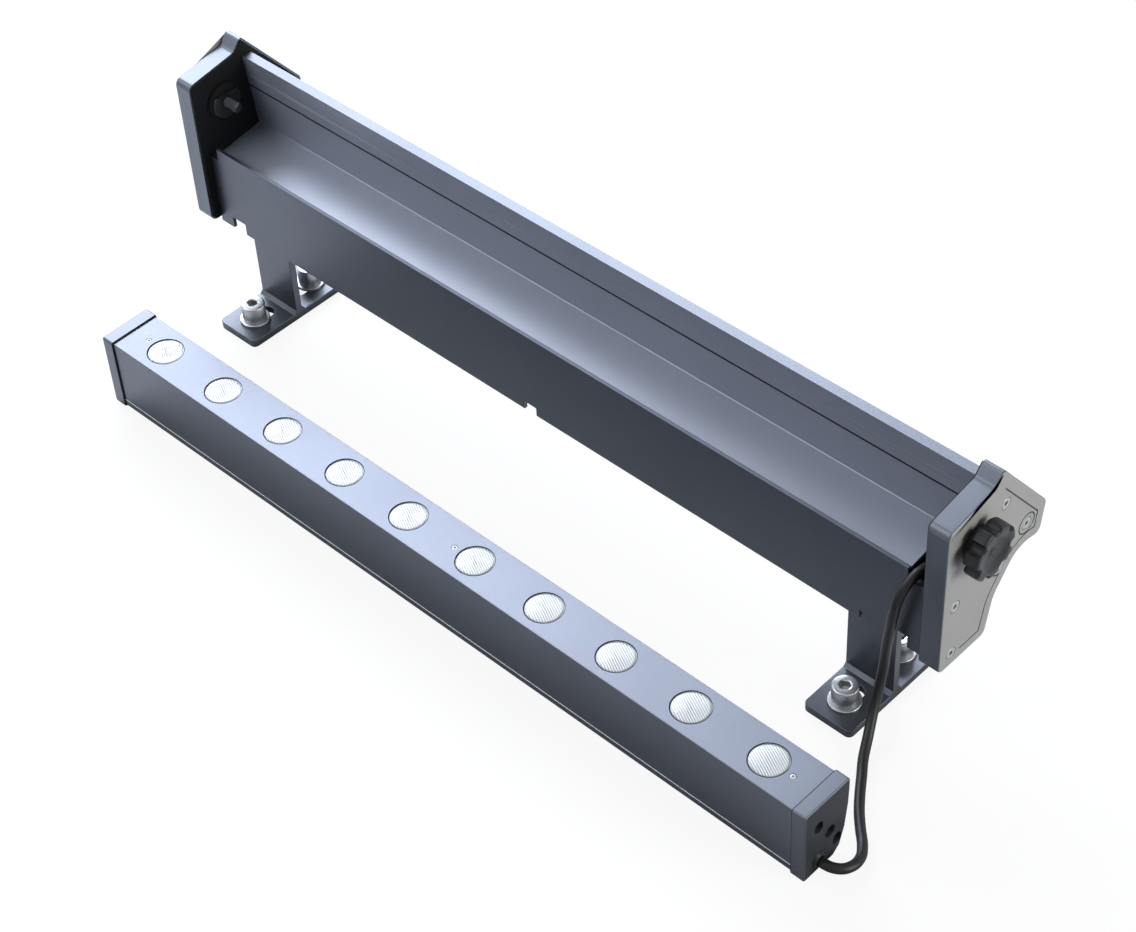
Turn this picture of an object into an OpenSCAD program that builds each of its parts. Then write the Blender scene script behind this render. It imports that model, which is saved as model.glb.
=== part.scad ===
// Outdoor wall washer light: a long folded housing on two feet, with the lens bar taken out of its
// trough and laid on the ground in front of it, still tied to the housing by its supply cable.
// X runs along the light, Y runs back, Z runs up. The origin is on the ground, halfway between the
// end plates and halfway between the front of the lens bar and the back of the housing.

/* [Housing] */
// Clear length between the two end plates
housing_len = 478; // [430:1:560]
// Height of the end plates' lower edge above the ground
plate_z = 50; // [46:0.5:60]
// Height of an end plate
plate_h = 100; // [96:0.5:110]
// Depth of an end plate from front to back
plate_w = 73; // [70:0.5:80]
// Thickness of an end plate
plate_t = 11; // [8:0.5:13]
// Radius of the rounded rim on an end plate's outer face
plate_edge = 1; // [0.5:0.25:2]
// Thickness of the gasket under each end plate
gasket_t = 1; // [0.8:0.1:1.5]
// How far the gasket stays inside the end plate's outline
gasket_inset = 1.2; // [0.8:0.1:2]
// How far the housing shell stays inside the end plate's outline
shell_inset = 3.5; // [3:0.1:5]
// Wall of the housing extrusions
wall = 2; // [1.6:0.1:2.4]

/* [Trough] */
// Distance of the front cover behind the front edge of the end plates
cover_setback = 6; // [5:0.25:8]
// Height of the front cover
cover_h = 50; // [46:0.5:52]
// How far the front cover hangs below the end plates' lower edge
cover_drop = 2; // [0:0.25:4]
// Height of the cover's lip above the trough floor at the front
lip_h = 8.5; // [6:0.25:10]
// Rise of the trough floor from front to back
floor_rise = 4.4; // [2:0.2:6]
// Height of the back wall's lower part above the back of the trough floor
wall_low_h = 25.6; // [20:0.2:28]
// Height of the back wall above the back of the trough floor
wall_h = 45.3; // [42:0.1:47]
// How far the back wall leans forward at its top
wall_lean = 4.7; // [2:0.1:6]
// Depth of the flange on top of the back wall
flange_d = 5.4; // [5:0.1:6]
// Length of the cable outlet at the right end of the trough floor
outlet_l = 16; // [12:0.5:20]

/* [Feet] */
// Width of a foot along the light
foot_w = 28; // [24:0.5:34]
// Distance of a foot's outer edge inside the end plate
foot_inset = 20; // [16:0.5:40]
// Depth of a foot's base plate
foot_d = 67.5; // [62:0.5:72]
// How far a foot's base plate reaches in front of its web
foot_front = 31.3; // [28:0.1:34]
// Thickness of a foot's base plate
foot_t = 4.4; // [3:0.1:6]
// Thickness of a foot's web
web_t = 4; // [3:0.25:6]
// Width of the anchor slots
slot_w = 9; // [8.6:0.1:9.4]
// Overall length of the anchor slots
slot_l = 19; // [17:0.5:20]
// Thread diameter of the anchor screws
anchor_d = 8; // [7:0.1:8.2]

/* [Clamps] */
// Outer diameter of the star grip
knob_d = 28; // [26:0.5:34]
// Thickness of the star grip
knob_t = 8; // [7:0.25:12]
// Diameter of the grip's neck
knob_neck_d = 17; // [13:0.5:18]
// Length of the grip's neck
knob_neck_t = 3; // [2:0.25:5]
// Diameter of the socket bolt's head
bolt_head_d = 10; // [9:0.5:16]
// Height of the socket bolt's head
bolt_head_h = 6; // [5:0.25:8]
// Diameter of the clamps' shanks
stud_d = 6; // [5:0.25:8]
// Length of the star grip's stud beyond its inner washer
knob_free = 1.5; // [0.5:0.25:3]
// Length of the socket bolt beyond its inner washer
bolt_free = 9; // [5:0.5:12]
// Diameter of the friction ring on the inner face of the end plate
ring_d = 20; // [18:0.5:24]
// Thickness of the friction ring
ring_t = 3; // [2:0.25:4]

/* [Lens bar] */
// Length of the lens bar over its end caps
bar_len = 471; // [430:1:520]
// Width of the lens bar's body
bar_w = 28.4; // [26:0.2:34]
// Height of the lens bar's body above the ground
bar_h = 43.6; // [40:0.2:48]
// How far the end caps stand proud of the body
cap_proud = 0.9; // [0.4:0.1:1.4]
// Thickness of an end cap
cap_t = 7.5; // [6:0.25:10]
// Height of the strip that closes the bar's underside
base_h = 5; // [4:0.25:6]
// How far the bar's right end lies past the clear length between the end plates
bar_end = 15.5; // [4:0.5:30]
// Distance of the first and last lens from the ends of the bar's body
lens_margin = 24.9; // [20:0.1:34]
// Diameter of a lens opening
lens_d = 19.2; // [16:0.2:20]

/* [Supply cable] */
// Diameter of the supply cable
cable_d = 5; // [4:0.25:5.5]

/* [Hidden] */
$fn = 48;

lens_count = 10;
lens_numbers = ["01", "02", "03", "04", "05", "06", "07", "08", "09", "10"];
sides = ["left", "right"];

// One overrun for every cut
cut = 1;
// Clearance between pieces of one body that fit into each other
fit = 0.05;
// Running clearance of the clamp stud in its bore, on the radius
running_fit = 0.08;
// Gap between pieces that only seat
seat = 0.1;

// Depth of the whole light: from the front of the bar's caps to the back of the end plates
bar_reach = 96;
overall_d = bar_reach + plate_w;
bar_y = -overall_d / 2 + bar_w / 2 + cap_proud;
plate_y = -overall_d / 2 + bar_reach;
plate_x = housing_len / 2;
shell_x = plate_x - gasket_t;

// Corners of an end plate, anticlockwise seen from the right: shares of its depth and its height
plate_shares = [
    [0, 0], [0.46, 0], [0.525, 0.21], [0.73, 0.4], [0.962, 0.37], [1, 0.55],
    [0.51, 1], [0.43, 0.93], [0, 0.88]
];
// Corner radii of the end plate, one for each corner
soft_r = 4;
blend_share = 0.19;
blend_r = blend_share * plate_w;
peak_r = 2;
plate_radii = [soft_r, soft_r, blend_r, blend_r, soft_r, soft_r, peak_r, soft_r, soft_r];
plate_corners = [for (i = [0:len(plate_shares) - 1]) [
    plate_y + plate_shares[i][0] * plate_w, plate_z + plate_shares[i][1] * plate_h, plate_radii[i]]];
// Least radius that a corner keeps when the outline is drawn in
least_r = 0.4;
corner_steps = 5;
edge_steps = 3;

// Screws that hold each end plate: clearance, head and thread
screw_d = 3.4;
screw_head_d = 6.6;
screw_head_h = 1.9;
screw_len = 24;
screw_hex = 2.2;
screw_hex_h = 1;
port_r = 2.6;
port_hole_d = screw_d + 2 * fit;

// Folded section of the housing, seen from the right. The trough's depth, from the cover's face to
// the foot of the back wall, is a share of the end plates' depth
trough_share = 0.474;
cover_y = plate_y + cover_setback;
cover_z = plate_z - cover_drop;
cover_top = cover_z + cover_h;
port_y = cover_y + port_r;
floor_z = cover_top - lip_h;
floor_y = port_y + port_r + seat;
wall_y = cover_y + trough_share * plate_w;
wall_z = floor_z + floor_rise;
lean_at = wall_lean / wall_h;
split_z = wall_z + wall_low_h;
split_y = wall_y - wall_low_h * lean_at;
crest_z = wall_z + wall_h;
crest_y = wall_y - wall_lean;
shell_bottom = plate_z + shell_inset;
split_gap = 0.7;

// Plate screws, seen from the right: in the crest, in the tail, under the trough, two in the cover
crest_screw_rise = 7.8;
tail_screw_shares = [0.8, 0.515];
crest_screw = [split_y + port_r, split_z + crest_screw_rise];
tail_screw = [plate_y + tail_screw_shares[0] * plate_w, plate_z + tail_screw_shares[1] * plate_h];
trough_screw = [wall_y - seat, wall_z - wall - port_r - fit];
upper_screw = [port_y, floor_z - port_r / 2];
lower_screw = [port_y, shell_bottom + port_r + wall];
plate_screws = [crest_screw, tail_screw, trough_screw, upper_screw, lower_screw];
port_neck = 2.2;
tail_neck = 9;

// Notches of the front cover
top_notch_w = 6.4;
top_notch_h = 7;
top_notch_right_w = 12;
foot_notch_w = 10;
foot_notch_h = 7;
foot_notch_x = 218;
drain_notch_w = 8;
drain_notch_h = 5;
drain_notch_x = -6;

// Groove round the rear part of an end plate's outer face
groove_inset = 6;
groove_w = 0.7;
groove_deep = 0.5;
groove_screw_r = 5.2;
// Part of the end plate that the groove keeps to: shares of its depth and its height
groove_shares = [[0.2, 0], [1, 0], [1, 1], [0.53, 1], [0.53, 0.5], [0.2, 0.5]];

// Clamp pivot
pivot_shares = [0.263, 0.71];
pivot_y = plate_y + pivot_shares[0] * plate_w;
pivot_z = plate_z + pivot_shares[1] * plate_h;
clamp_washer_d = 18;
clamp_washer_t = 1.5;
clamp_flat_share = 0.3;
stud_hole_d = stud_d + 2 * running_fit;
lobes = 7;
lobe_r = 3.7;
lobe_out = 1;
waist_share = 0.8;
grip_edge = 1.2;
grip_dish_d = 19;
grip_dish_h = 1.6;
grip_gap = 0.3;
stud_in_grip = 7;
stud_tip_r = 1.6;
bolt_edge = 0.6;
bolt_hex = 5;
bolt_hex_h = 3;

// Feet
foot_x = plate_x - foot_inset - foot_w / 2;
web_setback = 4.8;
web_y = cover_y + web_setback;
foot_y = web_y - foot_front;
foot_corner = 3;
foot_top_t = 5;
foot_top_d = 20;
foot_fillet = 2;
slot_from_web = 5.6;
rear_slot_gap = 5.2;
slot_front_y = web_y - slot_from_web - slot_l / 2;
slot_rear_y = web_y + web_t + rear_slot_gap + slot_l / 2;
// Where the anchor screws sit along their slots
anchor_front_off = -2.8;
anchor_rear_off = 4;
anchor_front_y = slot_front_y + anchor_front_off;
anchor_rear_y = slot_rear_y + anchor_rear_off;
anchor_head_d = 13;
anchor_head_h = 10;
anchor_hex = 5;
anchor_hex_h = 4;
anchor_edge = 0.8;
anchor_washer_d = 16.4;
anchor_washer_t = 1.6;
fixing_d = 5;
fixing_head_d = 9;
fixing_head_h = 3.6;
fixing_hex = 3;
fixing_x = 9;
fixing_gap = 0.15;
fixing_y = web_y + web_t + foot_fillet + fixing_head_d / 2 + fixing_gap;

// Driver, its terminals and the relief that the cable leaves from
driver_l = 160;
driver_share = 0.19;
driver_d = driver_share * plate_w;
driver_h = 25;
driver_gap = 39;
driver_left = plate_x - driver_gap - driver_l;
driver_y = floor_y + seat;
driver_z = shell_bottom + wall;
relief_l = 6;
relief_d = 9;
terminal_l = 24;
terminal_d = driver_d;
terminal_h = 14;
terminal_gap = 3;

// Lens bar section
bar_top = bar_h;
bar_mid = plate_x + bar_end - bar_len / 2;
bar_gasket_t = 0.6;
body_l = bar_len - 2 * (cap_t + bar_gasket_t);
bar_wall = 2.2;
tail_steps = 3;
bar_half = bar_w / 2;
cap_half = bar_half + cap_proud;
// Corners of the cap, anticlockwise seen from the right: shares of its half width and its height
cap_shares = [[-1, 0], [0.34, 0], [0.63, 0.085], [0.84, 0.31], [0.97, 0.64], [1, 0.86], [1, 1], [-1, 1]];
cap_soft = 1.2;
cap_top = bar_top + cap_proud;
cap_corners = [for (p = cap_shares) [p[0] * cap_half, p[1] * cap_top, cap_soft]];
cap_edge = 0.8;
board_t = 1.6;
board_w = 20;
board_drop = 9.2;
board_low = bar_top - board_drop - board_t;
rib_w = 1.6;
lens_lip_t = 2;
lens_lift = 0.3;
lens_dome = 0.5;
lens_fit = 0.2;
lens_foot_d = 11;
lens_pitch = (body_l - 2 * lens_margin) / (lens_count - 1);
lens_x0 = bar_mid - body_l / 2 + lens_margin;
top_screw_d = 3;
top_screw_l = 5;
top_screw_side = 13.5;
top_screw_x = [
    lens_x0 - top_screw_side, lens_x0 + 5 * lens_pitch - top_screw_side,
    lens_x0 + (lens_count - 1) * lens_pitch + top_screw_side
];
pivot_play = 0.6;
pivot_hole_d = stud_d + pivot_play;
pivot_hole_h = 5;
bar_pivot_shares = [0.14, 0.452];
bar_pivot_y = bar_pivot_shares[0] * cap_half;
bar_pivot_z = bar_pivot_shares[1] * cap_top;
cap_screw_d = 3;
cap_screw_head_d = 5.4;
cap_screw_head_h = 2.4;
cap_screw_l = 16;
cap_screw_sink = 3;
cap_slot = 1.4;
cap_screw_shares = [[-0.38, 0], [0.47, 0.234]];
// The upper port hangs under the board, the lower one sits in the curve of the wall
cap_screws = [
    [cap_screw_shares[0][0] * cap_half, board_low - port_r - seat],
    [cap_screw_shares[1][0] * cap_half, cap_screw_shares[1][1] * cap_top]
];
gland_d = 8;
gland_l = 1.5;
gland_shares = [-0.37, 0.17];
gland_y = gland_shares[0] * cap_half;
gland_z = gland_shares[1] * cap_top;

// Route of the supply cable, from the front edge of the right end plate: out of its relief, up
// through the outlet, over the notch in the cover, down past the right foot, along the ground and
// into the end of the lens bar
route_points = [
    [-33, 21, 66], [-23, 21, 66], [-17.5, 21.1, 67.6], [-13.2, 21.3, 71.8], [-11, 21.5, 77.5], [-10, 21.2, 84],
    [-9.2, 18.8, 91], [-9, 13.5, 95], [-9.5, 7.1, 95.3], [-10.7, 1.5, 91.5], [-12, -1.3, 84.5], [-13.5, -1.9, 75],
    [-15.5, -1.1, 62], [-17.5, -0.2, 48.5], [-18.3, -0.3, 35], [-17.8, -3.5, 23.5], [-15.4, -10.3, 13.5],
    [-11.5, -18.3, 7], [-7, -27, 3.5], [-1.3, -35.3, 2.5], [4.5, -43.7, 2.5], [10.6, -51.7, 2.5],
    [17, -58.7, 2.6], [23, -64.9, 3.1], [27, -70.9, 4.2], [28.2, -76.7, 5.4], [26.6, -82.3, 6.5],
    [22.6, -85.7, 7.3], [19.2, -86.5, 7.5], [17.3, -86.5, 7.5]
];
cable_route = [for (p = route_points) [plate_x + p[0], plate_y + p[1], p[2]]];
cable_sides = 10;

function unit(v) = v / norm(v);

// Corner i of an anticlockwise outline, moved inward by d
function inset_corner(p, i, d) = let (
    n = len(p), a = p[(i + n - 1) % n], b = p[i], c = p[(i + 1) % n],
    e = unit([b[0] - a[0], b[1] - a[1]]),
    f = unit([c[0] - b[0], c[1] - b[1]]),
    turn = e[0] * f[1] - e[1] * f[0],
    shift = ([-e[1], e[0]] + [-f[1], f[0]]) / (1 + e * f)
) [b[0] + d * shift[0], b[1] + d * shift[1], turn > 0 ? max(b[2] - d, least_r) : b[2] + d];

function inset(p, d) = [for (i = [0:len(p) - 1]) inset_corner(p, i, d)];

// Points of the arc that rounds corner i of an outline
function corner_arc(p, i) = let (
    n = len(p), a = p[(i + n - 1) % n], b = p[i], c = p[(i + 1) % n],
    u = unit([a[0] - b[0], a[1] - b[1]]),
    v = unit([c[0] - b[0], c[1] - b[1]]),
    half = acos(u * v) / 2,
    reach = b[2] / tan(half),
    centre = [b[0], b[1]] + unit(u + v) * b[2] / sin(half),
    from = [b[0], b[1]] + u * reach - centre,
    way = (u[0] * v[1] - u[1] * v[0]) > 0 ? -1 : 1,
    sweep = way * (180 - 2 * half)
) [for (k = [0:corner_steps]) let (t = sweep * k / corner_steps)
    centre + [from[0] * cos(t) - from[1] * sin(t), from[0] * sin(t) + from[1] * cos(t)]];

function rounded(p) = [for (i = [0:len(p) - 1]) each corner_arc(p, i)];

// Closed solid through rings of points that all have the same count
module loft(rings) {
    n = len(rings[0]);
    last = len(rings) - 1;
    polyhedron(
        points = [for (r = rings) each r],
        faces = concat(
            [[for (j = [0:n - 1]) j]],
            [for (k = [0:last - 1], j = [0:n - 1]) each [
                [k * n + j, (k + 1) * n + j, (k + 1) * n + (j + 1) % n],
                [k * n + j, (k + 1) * n + (j + 1) % n, k * n + (j + 1) % n]]],
            [[for (j = [n - 1:-1:0]) last * n + j]]
        ),
        convexity = 6
    );
}

// Flat plate with a rounded rim on its outer face, its inner face at x = 0
module rimmed_plate(corners, t, edge) {
    steps = concat([[t - edge - cut, 0]], [for (k = [0:edge_steps]) let (a = 90 * k / edge_steps)
        [t - edge * (1 - sin(a)), edge * (1 - cos(a))]]);
    along_x(0, t - edge) polygon(rounded(corners));
    loft([for (s = steps) [for (q = rounded(inset(corners, s[1]))) [s[0], q[0], q[1]]]]);
}

// Section drawn as (y, z), drawn out along X from x0
module along_x(x0, l) {
    translate([x0, 0, 0])
        rotate([90, 0, 90])
            linear_extrude(l)
                children();
}

// Cylinder along X that starts at x0
module rod_x(x0, l, d, y, z) {
    translate([x0, y, z])
        rotate([0, 90, 0])
            cylinder(d = d, h = l);
}

module cone_x(x0, l, d0, d1, y, z) {
    translate([x0, y, z])
        rotate([0, 90, 0])
            cylinder(d1 = d0, d2 = d1, h = l);
}

module hex_x(x0, l, across, y, z) {
    translate([x0, y, z])
        rotate([0, 90, 0])
            cylinder(d = across / cos(30), h = l, $fn = 6);
}

// Children as drawn for the right end, or mirrored for the left end
module at_side(s) {
    if (s == "left") mirror([1, 0, 0]) children();
    else children();
}

// Screw port of an extrusion, with a neck that ties it to the wall at an angle
module port(place, angle, reach) {
    translate(place) {
        circle(r = port_r);
        rotate(angle) translate([0, -port_neck / 2]) square([reach, port_neck]);
    }
}

module port_hole(place) {
    translate(place) circle(d = port_hole_d);
}

// Front cover: the tall front sheet with two screw ports behind it
module front_cover() {
    color([0.27, 0.29, 0.3]) difference() {
        along_x(-shell_x, 2 * shell_x) difference() {
            union() {
                translate([cover_y, cover_z]) square([wall, cover_h]);
                port(upper_screw, 180, port_r);
                port(lower_screw, 180, port_r);
            }
            port_hole(upper_screw);
            port_hole(lower_screw);
        }
        translate([-shell_x - cut, cover_y - cut, cover_top - top_notch_h])
            cube([top_notch_w + cut - gasket_t, wall + port_r + cut, top_notch_h + cut]);
        translate([shell_x - top_notch_right_w, cover_y - cut, cover_top - top_notch_h])
            cube([top_notch_right_w + cut, wall + port_r + cut, top_notch_h + cut]);
        for (side = [-1, 1])
            translate([side * foot_notch_x + (side - 1) * foot_notch_w / 2, cover_y - cut, cover_z - cut])
                cube([foot_notch_w, wall + 2 * cut, foot_notch_h + cut]);
        for (x = [drain_notch_x, foot_x])
            translate([x - drain_notch_w / 2, cover_y - cut, cover_z - cut])
                cube([drain_notch_w, wall + 2 * cut, drain_notch_h + cut]);
    }
}

// Trough: the sloping floor and the lower part of the back wall
module trough() {
    color([0.5, 0.51, 0.57]) difference() {
        along_x(-shell_x, 2 * shell_x) difference() {
            union() {
                polygon([
                    [floor_y, floor_z - wall], [wall_y + wall, wall_z - wall], [split_y + wall, split_z],
                    [split_y, split_z], [wall_y, wall_z], [floor_y, floor_z]
                ]);
                port(trough_screw, 90, port_r);
            }
            port_hole(trough_screw);
        }
        translate([shell_x - outlet_l, floor_y - cut, floor_z - wall - cut])
            cube([outlet_l + cut, wall_y - floor_y + cut - 2 * port_r, wall + floor_rise + 2 * cut]);
    }
}

// Rear shell: the upper back wall, the flange on top, the back and the bottom
module rear_shell() {
    color([0.42, 0.44, 0.47]) difference() {
        along_x(-shell_x, 2 * shell_x) difference() {
            union() {
                intersection() {
                    difference() {
                        polygon(rounded(inset(plate_corners, shell_inset)));
                        polygon(rounded(inset(plate_corners, shell_inset + wall)));
                    }
                    polygon([
                        [floor_y, shell_bottom - cut], [plate_y + plate_w, shell_bottom - cut],
                        [plate_y + plate_w, crest_z], [crest_y + wall, crest_z],
                        [split_y + wall + seat, split_z], [wall_y + wall + seat, wall_z - wall],
                        [trough_screw[0] + port_r + seat, trough_screw[1] - port_r - seat],
                        [floor_y, trough_screw[1] - port_r - seat]
                    ]);
                }
                polygon([
                    [split_y, split_z + split_gap], [split_y + wall, split_z + split_gap],
                    [crest_y + wall, crest_z - wall], [crest_y + flange_d, crest_z - wall],
                    [crest_y + flange_d, crest_z], [crest_y, crest_z]
                ]);
                port(crest_screw, 180, port_r + wall / 2);
                port(tail_screw, -80, tail_neck);
            }
            port_hole(crest_screw);
            port_hole(tail_screw);
        }
        for (side = [-1, 1], e = [-1, 1])
            translate([side * foot_x + e * fixing_x, fixing_y, shell_bottom - cut])
                cylinder(d = fixing_d + 2 * fit, h = wall + 2 * cut);
    }
}

module plate_hole(p) {
    rod_x(-cut, plate_t + 2 * cut, screw_d + 2 * fit, p[0], p[1]);
    // The countersink runs on past the face at the same slope
    cone_x(plate_t - screw_head_h, screw_head_h + cut, screw_d + 2 * fit,
        screw_head_d + 2 * fit + (screw_head_d - screw_d) * cut / screw_head_h, p[0], p[1]);
}

// Groove line on the outer face: it follows the outline and steps round the screws that it meets
module groove_region(d, r) {
    difference() {
        polygon(rounded(inset(plate_corners, d)));
        for (p = [tail_screw, trough_screw]) translate(p) circle(r = r);
    }
}

module end_plate(s) {
    color([0.62, 0.62, 0.61]) at_side(s) translate([plate_x, 0, 0]) difference() {
        union() rimmed_plate(plate_corners, plate_t, plate_edge);
        rod_x(-cut, plate_t + 2 * cut, stud_hole_d, pivot_y, pivot_z);
        for (p = plate_screws) plate_hole(p);
        along_x(plate_t - groove_deep, groove_deep + cut) intersection() {
            difference() {
                groove_region(groove_inset, groove_screw_r);
                groove_region(groove_inset + groove_w, groove_screw_r + groove_w);
            }
            polygon([for (p = groove_shares) [plate_y + p[0] * plate_w, plate_z + p[1] * plate_h]]);
        }
    }
}

module gasket(s) {
    color([0.1, 0.1, 0.1]) at_side(s) difference() {
        along_x(shell_x, gasket_t) polygon(rounded(inset(plate_corners, gasket_inset)));
        rod_x(shell_x - cut, gasket_t + 2 * cut, stud_hole_d, pivot_y, pivot_z);
        for (p = plate_screws) rod_x(shell_x - cut, gasket_t + 2 * cut, screw_d + 2 * fit, p[0], p[1]);
    }
}

module plate_screw(p) {
    difference() {
        union() {
            rod_x(plate_x + plate_t - screw_len, screw_len - screw_head_h, screw_d, p[0], p[1]);
            cone_x(plate_x + plate_t - screw_head_h, screw_head_h, screw_d, screw_head_d, p[0], p[1]);
        }
        hex_x(plate_x + plate_t - screw_hex_h, screw_hex_h + cut, screw_hex, p[0], p[1]);
    }
}

module plate_screw_set(s) {
    color([0.75, 0.75, 0.76]) at_side(s) for (p = plate_screws) plate_screw(p);
}

// Friction ring and clamp washer on the inner face, both threaded on the stud
module friction_ring(s) {
    color([0.15, 0.15, 0.15]) at_side(s) difference() {
        rod_x(shell_x - ring_t, ring_t, ring_d, pivot_y, pivot_z);
        rod_x(shell_x - ring_t - cut, ring_t + 2 * cut, stud_hole_d, pivot_y, pivot_z);
    }
}

module clamp_washer(s) {
    color([0.45, 0.46, 0.47]) at_side(s) difference() {
        rod_x(shell_x - ring_t - clamp_washer_t, clamp_washer_t, clamp_washer_d, pivot_y, pivot_z);
        rod_x(shell_x - ring_t - clamp_washer_t - cut, clamp_washer_t + 2 * cut, stud_hole_d, pivot_y, pivot_z);
        translate([shell_x - ring_t - clamp_washer_t - cut, pivot_y - clamp_washer_d,
            pivot_z + clamp_flat_share * clamp_washer_d])
            cube([clamp_washer_t + 2 * cut, 2 * clamp_washer_d, clamp_washer_d]);
    }
}

// Star grip: seven lobes round a neck, dished in its outer face
module knob_grip() {
    core_r = knob_d / 2 * waist_share;
    outer = plate_x + plate_t + grip_gap + knob_neck_t + knob_t;
    color([0.12, 0.12, 0.12]) difference() {
        union() {
            rod_x(plate_x + plate_t + grip_gap, knob_neck_t + grip_edge, knob_neck_d, pivot_y, pivot_z);
            intersection() {
                translate([outer - knob_t, pivot_y, pivot_z]) rotate([0, 90, 0]) linear_extrude(knob_t)
                    difference() {
                        circle(d = knob_d);
                        for (i = [0:lobes - 1]) rotate(360 * (i + 0.5) / lobes)
                            translate([knob_d / 2 + lobe_out, 0]) circle(r = lobe_r);
                    }
                translate([outer, pivot_y, pivot_z]) rotate([0, -90, 0]) rotate_extrude() polygon([
                    [0, 0], [knob_d / 2 - grip_edge, 0], [knob_d / 2, grip_edge],
                    [knob_d / 2, knob_t - grip_edge], [core_r - grip_edge, knob_t], [0, knob_t]
                ]);
            }
        }
        rod_x(plate_x + plate_t - cut, grip_gap + stud_in_grip + cut + fit, stud_d + 2 * fit, pivot_y, pivot_z);
        cone_x(outer - grip_dish_h, grip_dish_h + fit, grip_dish_d - 2 * grip_dish_h, grip_dish_d, pivot_y, pivot_z);
    }
}

// Shank of a clamp along X, with its rounded tip at x = 0
module clamp_shank(l) {
    rotate([0, 90, 0]) rotate_extrude() polygon(concat(
        [[0, l], [0, 0]],
        [for (k = [0:tail_steps]) let (a = 90 * k / tail_steps)
            [stud_d / 2 - stud_tip_r * (1 - sin(a)), stud_tip_r * (1 - cos(a))]],
        [[stud_d / 2, l]]
    ));
}

module knob_stud() {
    tip = shell_x - ring_t - clamp_washer_t - knob_free;
    color([0.3, 0.3, 0.31]) translate([tip, pivot_y, pivot_z])
        clamp_shank(plate_x + plate_t + grip_gap + stud_in_grip - tip);
}

// The left end is clamped by a socket bolt
module clamp_bolt() {
    tip = shell_x - ring_t - clamp_washer_t - bolt_free;
    face = plate_x + plate_t + grip_gap;
    color([0.3, 0.3, 0.31]) at_side("left") difference() {
        union() {
            translate([tip, pivot_y, pivot_z]) clamp_shank(face + cut - tip);
            rod_x(face, bolt_head_h - bolt_edge, bolt_head_d, pivot_y, pivot_z);
            cone_x(face + bolt_head_h - bolt_edge, bolt_edge, bolt_head_d, bolt_head_d - 2 * bolt_edge,
                pivot_y, pivot_z);
        }
        hex_x(face + bolt_head_h - bolt_hex_h, bolt_hex_h + cut, bolt_hex, pivot_y, pivot_z);
    }
}

module slot_cut(y) {
    translate([foot_x, y, -cut]) linear_extrude(foot_t + 2 * cut) union() {
        square([slot_w, slot_l - slot_w], center = true);
        for (e = [-1, 1]) translate([0, e * (slot_l - slot_w) / 2]) circle(d = slot_w);
    }
}

// Foot: a slotted base plate, a web and a short top flange under the housing
module foot(s) {
    corners = [
        [foot_x - foot_w / 2, foot_y, foot_corner], [foot_x + foot_w / 2, foot_y, foot_corner],
        [foot_x + foot_w / 2, foot_y + foot_d, foot_corner], [foot_x - foot_w / 2, foot_y + foot_d, foot_corner]
    ];
    color([0.5, 0.51, 0.54]) at_side(s) difference() {
        union() {
            linear_extrude(foot_t) polygon(rounded(corners));
            along_x(foot_x - foot_w / 2, foot_w) polygon([
                [web_y - foot_fillet, foot_t - seat], [web_y + web_t + foot_fillet, foot_t - seat],
                [web_y + web_t + foot_fillet, foot_t], [web_y + web_t, foot_t + foot_fillet],
                [web_y + web_t, shell_bottom - foot_top_t - foot_fillet],
                [web_y + web_t + foot_fillet, shell_bottom - foot_top_t],
                [web_y + foot_top_d, shell_bottom - foot_top_t], [web_y + foot_top_d, shell_bottom],
                [web_y, shell_bottom], [web_y, foot_t + foot_fillet], [web_y - foot_fillet, foot_t]
            ]);
        }
        slot_cut(slot_front_y);
        slot_cut(slot_rear_y);
        for (e = [-1, 1]) translate([foot_x + e * fixing_x, fixing_y, shell_bottom - foot_top_t - cut])
            cylinder(d = fixing_d + 2 * fit, h = foot_top_t + 2 * cut);
    }
}

module foot_fixings(s) {
    color([0.4, 0.4, 0.41]) at_side(s) for (e = [-1, 1])
        translate([foot_x + e * fixing_x, fixing_y, shell_bottom - foot_top_t]) difference() {
            union() {
                cylinder(d = fixing_d, h = foot_top_t + wall);
                translate([0, 0, -fixing_head_h]) cylinder(d = fixing_head_d, h = fixing_head_h);
            }
            translate([0, 0, -fixing_head_h - cut])
                cylinder(d = fixing_hex / cos(30), h = fixing_head_h / 2 + cut, $fn = 6);
        }
}

module anchor_screw(s, y) {
    base = foot_t + anchor_washer_t;
    color([0.78, 0.78, 0.78]) at_side(s) translate([foot_x, y, 0]) difference() {
        rotate_extrude() polygon([
            [0, seat], [anchor_d / 2 - anchor_edge, seat], [anchor_d / 2, seat + anchor_edge], [anchor_d / 2, base],
            [anchor_head_d / 2, base], [anchor_head_d / 2, base + anchor_head_h - anchor_edge],
            [anchor_head_d / 2 - anchor_edge, base + anchor_head_h], [0, base + anchor_head_h]
        ]);
        translate([0, 0, base + anchor_head_h - anchor_hex_h])
            cylinder(d = anchor_hex / cos(30), h = anchor_hex_h + cut, $fn = 6);
    }
}

module anchor_washer(s, y) {
    color([0.85, 0.85, 0.84]) at_side(s) translate([foot_x, y, foot_t]) difference() {
        cylinder(d = anchor_washer_d, h = anchor_washer_t);
        translate([0, 0, -cut]) cylinder(d = anchor_d + 2 * fit, h = anchor_washer_t + 2 * cut);
    }
}

module driver() {
    color([0.7, 0.7, 0.68]) translate([driver_left, driver_y, driver_z]) cube([driver_l, driver_d, driver_h]);
}

module terminal_block() {
    color([0.15, 0.15, 0.15]) translate([driver_left - terminal_gap - terminal_l, driver_y, driver_z])
        difference() {
            cube([terminal_l, terminal_d, terminal_h]);
            for (x = [1, 3, 5]) translate([x * terminal_l / 6, terminal_d / 2, terminal_h / 2])
                cylinder(d = terminal_d / 4, h = terminal_h);
        }
}

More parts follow.
